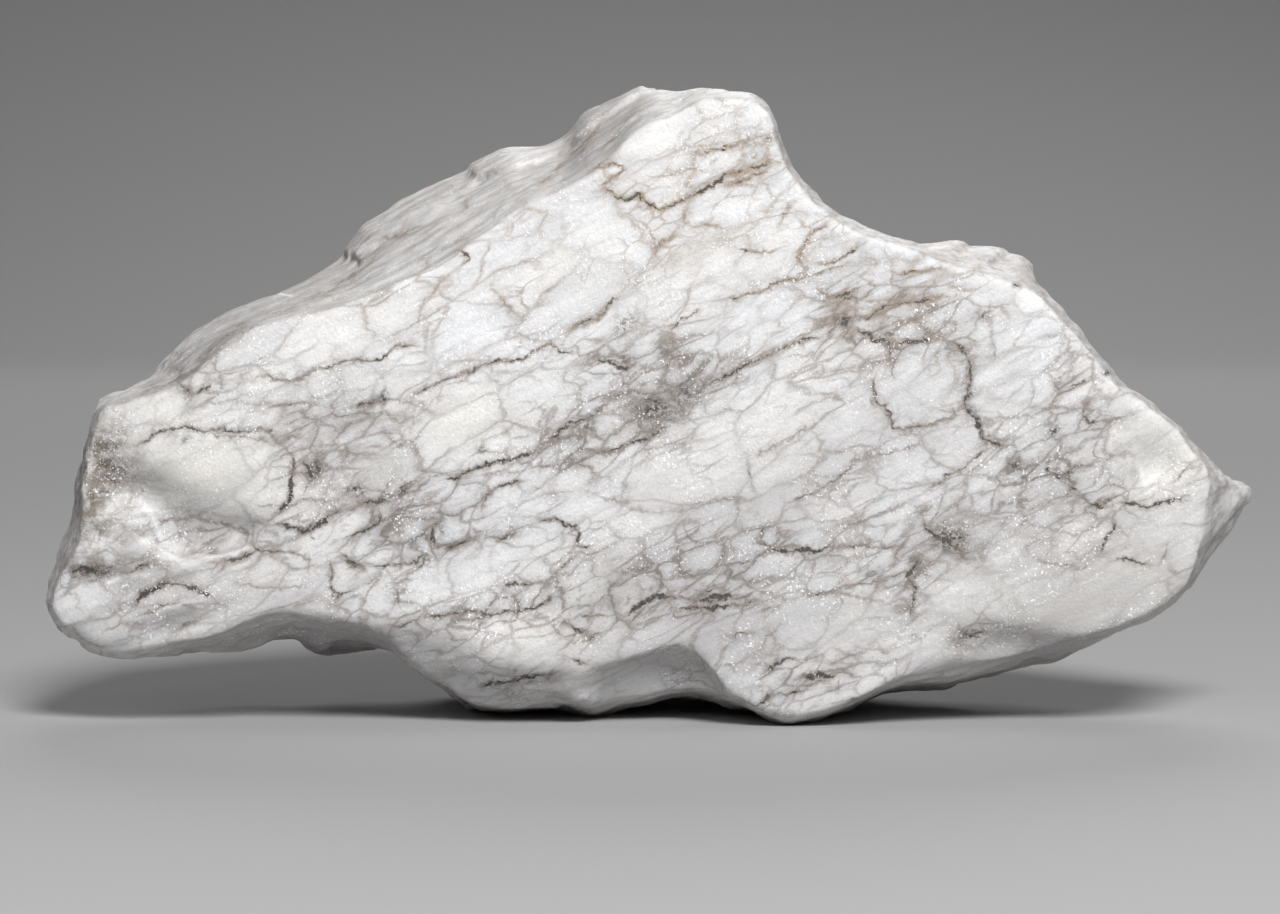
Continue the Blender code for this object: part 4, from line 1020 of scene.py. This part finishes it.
def keep_largest(bm):
    """Drops the crumbs that the cut leaves beside the block."""
    left = set(bm.verts)
    pieces = []
    while left:
        piece = [left.pop()]
        for vert in piece:
            for edge in vert.link_edges:
                other = edge.other_vert(vert)
                if other in left:
                    left.remove(other)
                    piece.append(other)
        pieces.append(piece)
    pieces.sort(key=len)
    bmesh.ops.delete(bm, geom=[vert for piece in pieces[:-1] for vert in piece], context="VERTS")


def front_share(points, normals):
    """How much each point belongs to the front face, from 0 to 1."""
    depth = points[:, 1] - FRONT_Y
    return smoothstep(*PALE_FACING, -normals[:, 1]) * smoothstep(*PALE_REACH, depth)


def refine(mesh):
    """Adds the finer grain, and streaks and chips to the sides and the back."""
    points, normals = points_of(mesh), normals_of(mesh)
    streaks = layered_noise(points, normals, FINE_STREAKS, FINE_BANDS)
    grain = noise_at(along_layers(points, GRAIN_SIZE), 3)
    chips = noise_at(points / CHIP_SIZE, 2)
    outline = np.exp(-((normals[:, 1] / OUTLINE_BAND) ** 2))
    rough = (1.0 - front_share(points, normals)) * (1.0 - FINE_CALM * outline)
    rough *= smoothstep(*FINE_REACH, points[:, 1] - FRONT_Y)
    rise = GRAIN_HEIGHT * grain + (STREAK_HEIGHT * streaks + CHIP_HEIGHT * chips) * rough
    move_points(mesh, points + normals * rise[:, None])


def remeshed(mesh):
    return with_modifier(mesh, "REMESH", mode="VOXEL", voxel_size=VOXEL * MM)


def make_mesh():
    """The whole block, standing on its feet."""
    mesh = remeshed(loft(rings()))
    move_points(mesh, break_faces(points_of(mesh)))
    mesh = remeshed(mesh)
    roughen(mesh)
    draw_down_feet(mesh)
    mesh = remeshed(mesh)
    mesh.transform(Matrix.Translation(Vector((0, FRONT_Y, 0)) * MM))
    refine(mesh)
    mesh.transform(Matrix.Translation(Vector((0, -FRONT_Y, 0)) * MM))
    mesh = with_modifier(mesh, "DECIMATE", ratio=TRIANGLES / (2 * len(mesh.polygons)))
    stand(mesh)
    mesh.shade_smooth()
    return mesh


def seen_from_front(points):
    """Where the front view shows points of the standing block, as x and z."""
    x, depth, z = (points - np.array((MIDDLE_X, FRONT_Y, RAISE))).T
    eye_z = VIEW_CENTRE[1] + VIEW_DISTANCE * math.sin(VIEW_RISE)
    grow = 1.0 + depth / (VIEW_DISTANCE * math.cos(VIEW_RISE))
    return VIEW_CENTRE[0] + (x - VIEW_CENTRE[0]) / grow, eye_z + (z - eye_z) / grow


def vein_line(row):
    return np.array(row[1:], float).reshape(-1, 2)


def thick_dots(line):
    """Points at about every DOT_STEP along a line."""
    dots = [line[:1]]
    for start, end in zip(line[:-1], line[1:]):
        count = max(1, int(np.hypot(*(end - start)) / DOT_STEP))
        dots.append(start + (end - start) * (np.arange(1, count + 1) / count)[:, None])
    return np.concatenate(dots)


def vein_groups():
    """The veins in as few groups as keep those of one group apart."""
    groups = []
    for row in sorted(VEINS, reverse=True):
        dots = thick_dots(vein_line(row))
        for group in groups:
            others = np.concatenate([there for _, there in group])
            gap = np.min(np.hypot(*(dots[:, None] - others[None]).transpose(2, 0, 1)))
            if gap > VEINS_APART:
                group.append((row, dots))
                break
        else:
            groups.append([(row, dots)])
    return [[row for row, _ in group] for group in groups]


def write_attribute(mesh, name, values):
    """Stores one number or one vector per point."""
    kind, field = ("FLOAT", "value") if values.ndim == 1 else ("FLOAT_VECTOR", "vector")
    layer = mesh.attributes.new(name, kind, "POINT")
    layer.data.foreach_set(field, values.astype(np.float32).ravel())


def write_veins(mesh, groups, x, z, facing):
    """Stores how far and how dark each group's nearest vein is, and returns the haze of all."""
    haze = np.zeros(len(x))
    for number, group in enumerate(groups):
        offset = np.full(len(x), VEIN_REACH)
        nearest = np.full(len(x), np.inf)
        dark = np.zeros(len(x))
        for row in group:
            line = vein_line(row)
            low, high = line.min(axis=0) - 3 * HAZE_REACH, line.max(axis=0) + 3 * HAZE_REACH
            boxed = (x > low[0]) & (x < high[0]) & (z > low[1]) & (z < high[1])
            near = np.flatnonzero(boxed & (facing > 0))
            across, end = beside(line, x[near], z[near])
            gap = np.abs(across)
            spread = row[0] ** 1.5 * np.exp(-((across / HAZE_REACH) ** 2))
            haze[near] = np.maximum(haze[near], spread)
            fade = row[0] * (VEIN_TIP + (1.0 - VEIN_TIP) * smoothstep(0.0, VEIN_END, end))
            fade *= smoothstep(VEIN_REACH, 0.8 * VEIN_REACH, gap)
            closer = gap < nearest[near]
            chosen = near[closer]
            nearest[chosen] = gap[closer]
            offset[chosen] = np.clip(across[closer], -VEIN_REACH, VEIN_REACH)
            dark[chosen] = fade[closer]
        dark *= facing
        write_attribute(mesh, f"vein_{number}", np.stack((offset, dark, 0 * dark), axis=-1))
    return haze


def mark(mesh):
    """Stores where the veins, smudges and tints lie, for the material to draw.

    Returns the number of groups that the veins are stored in.
    """
    points, normals = points_of(mesh), normals_of(mesh)
    x, z = seen_from_front(points)
    depth = points[:, 1] - FRONT_Y
    facing = smoothstep(*MARK_FACING, -normals[:, 1]) * smoothstep(*MARK_REACH, depth)
    write_attribute(mesh, "front", front_share(points, normals))
    groups = vein_groups()
    haze = write_veins(mesh, groups, x, z, facing)
    # pale scratches and painted highlights on crests, stored as the pale attribute
    pale = np.zeros(len(points))
    for row in PALE_LINES:
        across, end = beside(vein_line(row), x, z)
        line = row[0] * np.exp(-((across / PALE_WIDTH) ** 2)) * smoothstep(0.0, VEIN_END, end)
        pale = np.maximum(pale, line)
    write_attribute(mesh, "pale", pale * facing)
    smudge = np.max([soft_spot(row, x, z) for row in SMUDGES], axis=0)
    write_attribute(mesh, "smudge", smudge * facing)
    # grey tone and painted shade of the front face, from the spots of that table
    grey_and_painted_shade = sum(soft_spot(row, x, z) for row in GREY_AND_PAINTED_SHADE)
    write_attribute(mesh, "grey_and_painted_shade", np.clip(grey_and_painted_shade, 0.0, GREY_AND_PAINTED_SHADE_MOST) * facing)
    tints = {"cream": 0.0 * haze, "haze": HAZE_SHARE * haze, "brown": 0.0 * haze}
    for name, *row in TINTS:
        tints[name] += soft_spot(row, x, z)
    tints = [np.clip(tint, 0.0, TINT_MOST) * facing for tint in tints.values()]
    write_attribute(mesh, "tint", np.stack(tints, axis=-1))
    return len(groups)


class Nodes:
    """The nodes of one material. Each value that a method takes is a socket, or a plain value."""

    def __init__(self, material):
        material.use_nodes = True
        self.tree = material.node_tree

    def put(self, socket, value):
        if isinstance(value, bpy.types.NodeSocket):
            self.tree.links.new(value, socket)
        else:
            socket.default_value = value

    def add(self, kind, inputs=(), **settings):
        """A shader node with these settings, and these values at its inputs."""
        made = self.tree.nodes.new("ShaderNode" + kind)
        for name, value in settings.items():
            setattr(made, name, value)
        for name, value in dict(inputs).items():
            self.put(made.inputs[name], value)
        return made

    def calc(self, operation, *values, clamp=False):
        made = self.add("Math", dict(enumerate(values)), operation=operation, use_clamp=clamp)
        return made.outputs[0]

    def times(self, *values, clamp=False):
        """The product of the values, held between 0 and 1 where it is to be clamped."""
        product = values[0]
        for value in values[1:-1]:
            product = self.calc("MULTIPLY", product, value)
        return self.calc("MULTIPLY", product, values[-1], clamp=clamp)

    def slope(self, value, low, high, to_low=0.0, to_high=1.0):
        """A smooth step of a value, from to_low at low to to_high at high."""
        inputs = {0: value, 1: low, 2: high, 3: to_low, 4: to_high}
        return self.add("MapRange", inputs, interpolation_type="SMOOTHSTEP").outputs[0]

    def blend(self, share, first, second):
        """One colour over another by a share."""
        return self.add("Mix", {0: share, 6: first, 7: second}, data_type="RGBA").outputs[2]

    def ripple(self, place, scale, detail=3.0, rough=0.55, out="Fac"):
        """Noise of so many ripples per millimetre, or its colour as three numbers."""
        inputs = {"Vector": place, "Scale": scale, "Detail": detail, "Roughness": rough}
        return self.add("TexNoise", inputs).outputs[out]

    def cells(self, place, scale, feature="DISTANCE_TO_EDGE", out="Distance"):
        """Rounded cells: how far their edge is, or a colour for each."""
        inputs = {"Vector": place, "Scale": scale}
        return self.add("TexVoronoi", inputs, feature=feature).outputs[out]

    def stretched(self, place, size):
        """Places in the layering's own directions, as multiples of a size along each."""
        turn = {"Vector": place, "Rotation": (0.0, LAYER_RISE, 0.0)}
        turned = self.add("Mapping", turn, vector_type="POINT").outputs[0]
        shrink = {"Vector": turned, "Scale": [1.0 / side for side in size]}
        return self.add("Mapping", shrink).outputs[0]

    def warped(self, place, scale, amount, detail=2.0):
        """Places moved about by a noise."""
        push = {0: self.ripple(place, scale, detail, out="Color"), 1: (0.5, 0.5, 0.5)}
        push = self.add("VectorMath", push, operation="SUBTRACT").outputs[0]
        push = self.add("VectorMath", {0: push, "Scale": amount}, operation="SCALE").outputs[0]
        return self.add("VectorMath", {0: place, 1: push}, operation="ADD").outputs[0]

    def swing(self, place, scale, detail, rough, reach):
        """A noise that swings about nought."""
        noisy = self.ripple(place, scale, detail, rough)
        return self.times(self.calc("SUBTRACT", noisy, 0.5), reach)

    def stored(self, name, out="Fac"):
        return self.add("Attribute", attribute_name=name, attribute_type="GEOMETRY").outputs[out]


def vein_masks(n, place, groups):
    """The black core of the dark veins, the brown rim beside it and the glow around both."""
    jag = n.calc("ADD", n.swing(place, 0.42, 2.0, 0.5, JAG), n.swing(place, 1.2, 3.0, 0.65, FRET))
    knots = n.slope(n.ripple(place, 0.22, 2.0, 0.5), 0.42, 0.58, 0.78, 1.12)
    beads = n.times(n.slope(n.ripple(place, 0.75, 4.0, 0.7), 0.36, 0.6, 0.6, 1.1), knots)
    masks = None
    for number in range(groups):
        parts = n.add("SeparateXYZ", {0: n.stored(f"vein_{number}", "Vector")})
        gap = n.calc("ABSOLUTE", n.calc("ADD", parts.outputs[0], jag))
        dark = parts.outputs[1]
        beaded = n.times(dark, beads)
        width = n.calc("MULTIPLY_ADD", n.calc("POWER", beaded, 3.0), *CORE_WIDTH)
        core = n.slope(n.calc("DIVIDE", gap, width), 1.25, 0.5)
        core = n.times(core, n.slope(beaded, 0.28, 0.62))
        rim = n.slope(n.calc("DIVIDE", gap, n.calc("MULTIPLY_ADD", dark, *RIM_WIDTH)), 1.3, 0.1)
        rim = n.times(rim, n.slope(dark, -0.05, 0.65))
        glow = n.times(n.slope(gap, GLOW_WIDTH, 0.0), dark)
        made = (core, rim, glow)
        masks = made if masks is None else [n.calc("MAXIMUM", *pair) for pair in zip(masks, made)]
    return masks


def gypsum(groups):
    """Pale fine-grained stone with dark veins, brown hazes and a faint net of lines."""
    material = bpy.data.materials.new("gypsum")
    n = Nodes(material)
    place = n.add("TexCoord").outputs["Object"]
    place = n.add("VectorMath", {0: place, "Scale": 1.0 / MM}, operation="SCALE").outputs[0]
    front, grey_and_painted_shade, smudge = (n.stored(name) for name in ("front", "grey_and_painted_shade", "smudge"))
    tint = n.add("SeparateXYZ", {0: n.stored("tint", "Vector")})
    cream, haze, brown = (tint.outputs[i] for i in range(3))

    # noises that several marks share: bent is where the nodules are cut
    layered = n.stretched(place, NODULE_SIZE)
    bent = n.warped(n.warped(layered, 0.12, 6.0), 0.7, 1.3, 3.0)
    mottle = n.ripple(bent, 0.35, 5.0, 0.6)
    streak = n.ripple(n.stretched(place, FIBRE_SIZE), 1.0, 4.0, 0.6)
    grain = n.ripple(place, 1.9, 3.0, 0.7)
    grit = n.ripple(n.warped(layered, 1.0, 0.9), 0.95, 4.0, 0.7)
    nodules, small_nodules = n.cells(bent, NODULES), n.cells(bent, SMALL_NODULES)
    height = n.add("SeparateXYZ", {0: place}).outputs[2]
    thread = n.blend(n.slope(height, *TOP_HEIGHTS), LINE, TOP_LINE)

    # body colour: nodules of slightly different whites, and the streaked sides
    cell = n.add("SeparateColor", {0: n.cells(bent, NODULES, "F1", "Color")})
    body = n.blend(n.slope(cell.outputs[0], 0.2, 0.8), COOL, WHITE)
    body = n.blend(n.times(cream, n.slope(mottle, 0.3, 0.6, 0.6, 1.0)), body, CREAM)
    body = n.blend(n.slope(cell.outputs[1], 0.3, 1.0, 0.0, 0.14), body, GREY)
    body = n.blend(n.slope(nodules, 0.22, 0.0, 0.0, 0.2), body, GREY)
    side = n.blend(n.slope(streak, 0.35, 0.62), SIDE, SIDE_PALE)
    body = n.blend(n.slope(front, 0.1, 0.9), side, body)
    # painted shade in hollows, dents and under the arch, and the stone's grey tone, from the grey
    # spots
    body = n.blend(grey_and_painted_shade, body, GREY)
    body = n.blend(n.slope(mottle, 0.6, 0.35, 0.0, 0.15), body, GREY)
    body = n.blend(n.slope(streak, 0.6, 0.32, 0.0, 0.16), body, GREY)

    # translucent grey haze between the nodules, and brown stains
    patches = n.slope(mottle, 0.32, 0.56, 0.15, 1.0)
    seams = n.slope(small_nodules, 0.3, 0.04, 0.3, 1.05)
    body = n.blend(n.times(haze, patches, seams, clamp=True), body, GREY)
    gritty = n.times(n.slope(grit, 0.5, 0.66), n.calc("MULTIPLY_ADD", haze, 0.6, 0.08), clamp=True)
    body = n.blend(gritty, body, thread)
    crumbs = n.slope(n.cells(n.warped(bent, 1.2, 0.8), SMALL_NODULES), 0.07, 0.0)
    crumbs = n.times(crumbs, n.slope(mottle, 0.38, 0.54), n.slope(haze, 0.25, 0.9), clamp=True)
    body = n.blend(n.times(crumbs, 0.9), body, DARK_LINE)
    stain = n.slope(n.ripple(n.warped(place, 0.4, 1.6), 0.5, 5.0, 0.7), 0.4, 0.62)
    body = n.blend(n.times(brown, stain, 0.9, clamp=True), body, BROWN)

    # net of thin brown lines around the nodules
    wide_mask = n.slope(n.ripple(place, 0.08), 0.35, 0.62, 0.2, 1.0)
    wide_net = n.times(n.slope(nodules, 0.05, 0.0), wide_mask)
    fine_mask = n.slope(n.calc("MULTIPLY_ADD", haze, 0.4, n.ripple(place, 0.12)), 0.45, 0.75)
    fine_net = n.times(n.slope(small_nodules, 0.085, 0.0), fine_mask)
    broken = n.slope(grain, 0.3, 0.6, 0.45, 1.0)
    less_on_cream = n.slope(cream, 0.35, 0.9, 1.0, 0.35)
    shown = n.slope(front, 0.0, 1.0, *NET_SHARE)
    net = n.times(n.calc("MAXIMUM", wide_net, fine_net), broken, less_on_cream, shown)
    body = n.blend(net, body, thread)

    # the dark veins and smudges, and the pale scratches
    core, rim, glow = vein_masks(n, place, groups)
    rag = n.slope(n.ripple(n.warped(place, 0.9, 1.6), 1.4, 4.0, 0.65), 0.42, 0.56)
    smear = n.times(smudge, rag, 1.7, clamp=True)
    body = n.blend(n.times(glow, n.slope(grit, 0.38, 0.6, 0.2, 0.75)), body, thread)
    body = n.blend(n.times(rim, n.slope(grain, 0.3, 0.6, 0.6, 0.95)), body, thread)
    body = n.blend(n.times(smudge, 0.5), body, thread)
    body = n.blend(n.times(core, 0.95), body, VEIN)
    body = n.blend(n.calc("POWER", smear, 1.2), body, VEIN)
    # pale scratches, and painted highlights along crests
    body = n.blend(n.stored("pale"), body, PALE_AND_GLINT)

    # crystal grain: grey specks, and bright specks that are painted glints of the crystals
    body = n.blend(n.slope(grain, 0.62, 0.32, 0.0, 0.17), body, GREY)
    painted_glints = n.slope(n.ripple(place, 2.6, 2.0, 0.6), 0.58, 0.7)
    painted_glints = n.times(painted_glints, n.slope(n.ripple(place, 0.13, 4.0, 0.6), 0.45, 0.6, 0.1, 0.9))
    body = n.blend(painted_glints, body, PALE_AND_GLINT)

    shader = n.tree.nodes["Principled BSDF"]
    n.put(shader.inputs["Base Color"], body)
    n.put(shader.inputs["Roughness"], n.slope(grain, 0.3, 0.7, *ROUGHNESS))
    fibres = n.ripple(n.stretched(place, RELIEF_SIZE), 0.9, 4.0, 0.6)
    relief = n.calc("MULTIPLY_ADD", fibres, 0.6, grain)
    bump = n.add("Bump", {"Height": relief, "Strength": 0.35, "Distance": RELIEF_HEIGHT * MM})
    n.put(shader.inputs["Normal"], bump.outputs[0])
    return material


def show(name, data):
    """An object of the scene with this mesh, light or camera."""
    obj = bpy.data.objects.new(name, data)
    bpy.context.scene.collection.objects.link(obj)
    return obj


def make_specimen():
    mesh = make_mesh()
    mesh.materials.append(gypsum(mark(mesh)))
    piece = show("gypsum_block", mesh)
    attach(piece, "root")
    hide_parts("alabaster_block")


def make_floor():
    """A pale floor that turns up into a backdrop far behind."""
    profile = [(-FLOOR_REACH, 0.0), (FLOOR_END, 0.0)]
    for turn in np.linspace(0.1, math.pi / 2, 12):
        out, up = FLOOR_BEND * math.sin(turn), FLOOR_BEND - FLOOR_BEND * math.cos(turn)
        profile.append((FLOOR_END + out, up))
    profile.append((FLOOR_END + FLOOR_BEND, BACKDROP_TOP))
    bm = bmesh.new()
    rows = [[bm.verts.new((side * FLOOR_REACH, y, z)) for side in (-1, 1)] for y, z in profile]
    for near, far in zip(rows[:-1], rows[1:]):
        bm.faces.new((near[0], near[1], far[1], far[0]))
    mesh = bpy.data.meshes.new("floor")
    bm.to_mesh(mesh)
    bm.free()
    mesh.shade_smooth()
    paper = bpy.data.materials.new("paper")
    paper.use_nodes = True
    shader = paper.node_tree.nodes["Principled BSDF"]
    shader.inputs["Base Color"].default_value = PAPER
    shader.inputs["Roughness"].default_value = 0.8
    mesh.materials.append(paper)
    show("floor", mesh)


def look_from(obj, aim, away, distance):
    """Puts a lamp or a camera at a distance from a point, looking at it."""
    obj.location = aim + away * distance
    obj.rotation_euler = (-away).to_track_quat("-Z", "Y").to_euler()


def make_light(name, azimuth, elevation, distance, size, watts):
    """A soft area light that looks at the block. Azimuth 0 is in front of the pale face."""
    lamp = bpy.data.lights.new(name, "AREA")
    lamp.shape = "DISK"
    lamp.size = size
    lamp.energy = watts
    a, e = math.radians(azimuth), math.radians(elevation)
    away = Vector((math.sin(a) * math.cos(e), -math.cos(a) * math.cos(e), math.sin(e)))
    look_from(show(name, lamp), Vector((0.0, 0.0, LIT_HEIGHT)), away, distance)


def make_camera():
    """The photograph's view: square to the pale face, and a little above it."""
    camera = bpy.data.cameras.new("camera")
    camera.sensor_width = SENSOR
    camera.lens = SENSOR * VIEW_DISTANCE / FRAME_WIDTH
    seen = show("camera", camera)
    away = Vector((0.0, -math.cos(VIEW_RISE), math.sin(VIEW_RISE)))
    look_from(seen, Vector(AIM) * MM, away, VIEW_DISTANCE * MM)
    bpy.context.scene.camera = seen


def light_scene():
    world = bpy.data.worlds.new("studio")
    world.use_nodes = True
    background = world.node_tree.nodes["Background"]
    background.inputs["Color"].default_value = (1.0, 1.0, 1.0, 1.0)
    background.inputs["Strength"].default_value = 0.05
    bpy.context.scene.world = world
    bpy.context.scene.view_settings.view_transform = "Standard"
    for lamp in LAMPS:
        make_light(*lamp)


make_specimen()
make_floor()
make_camera()
light_scene()
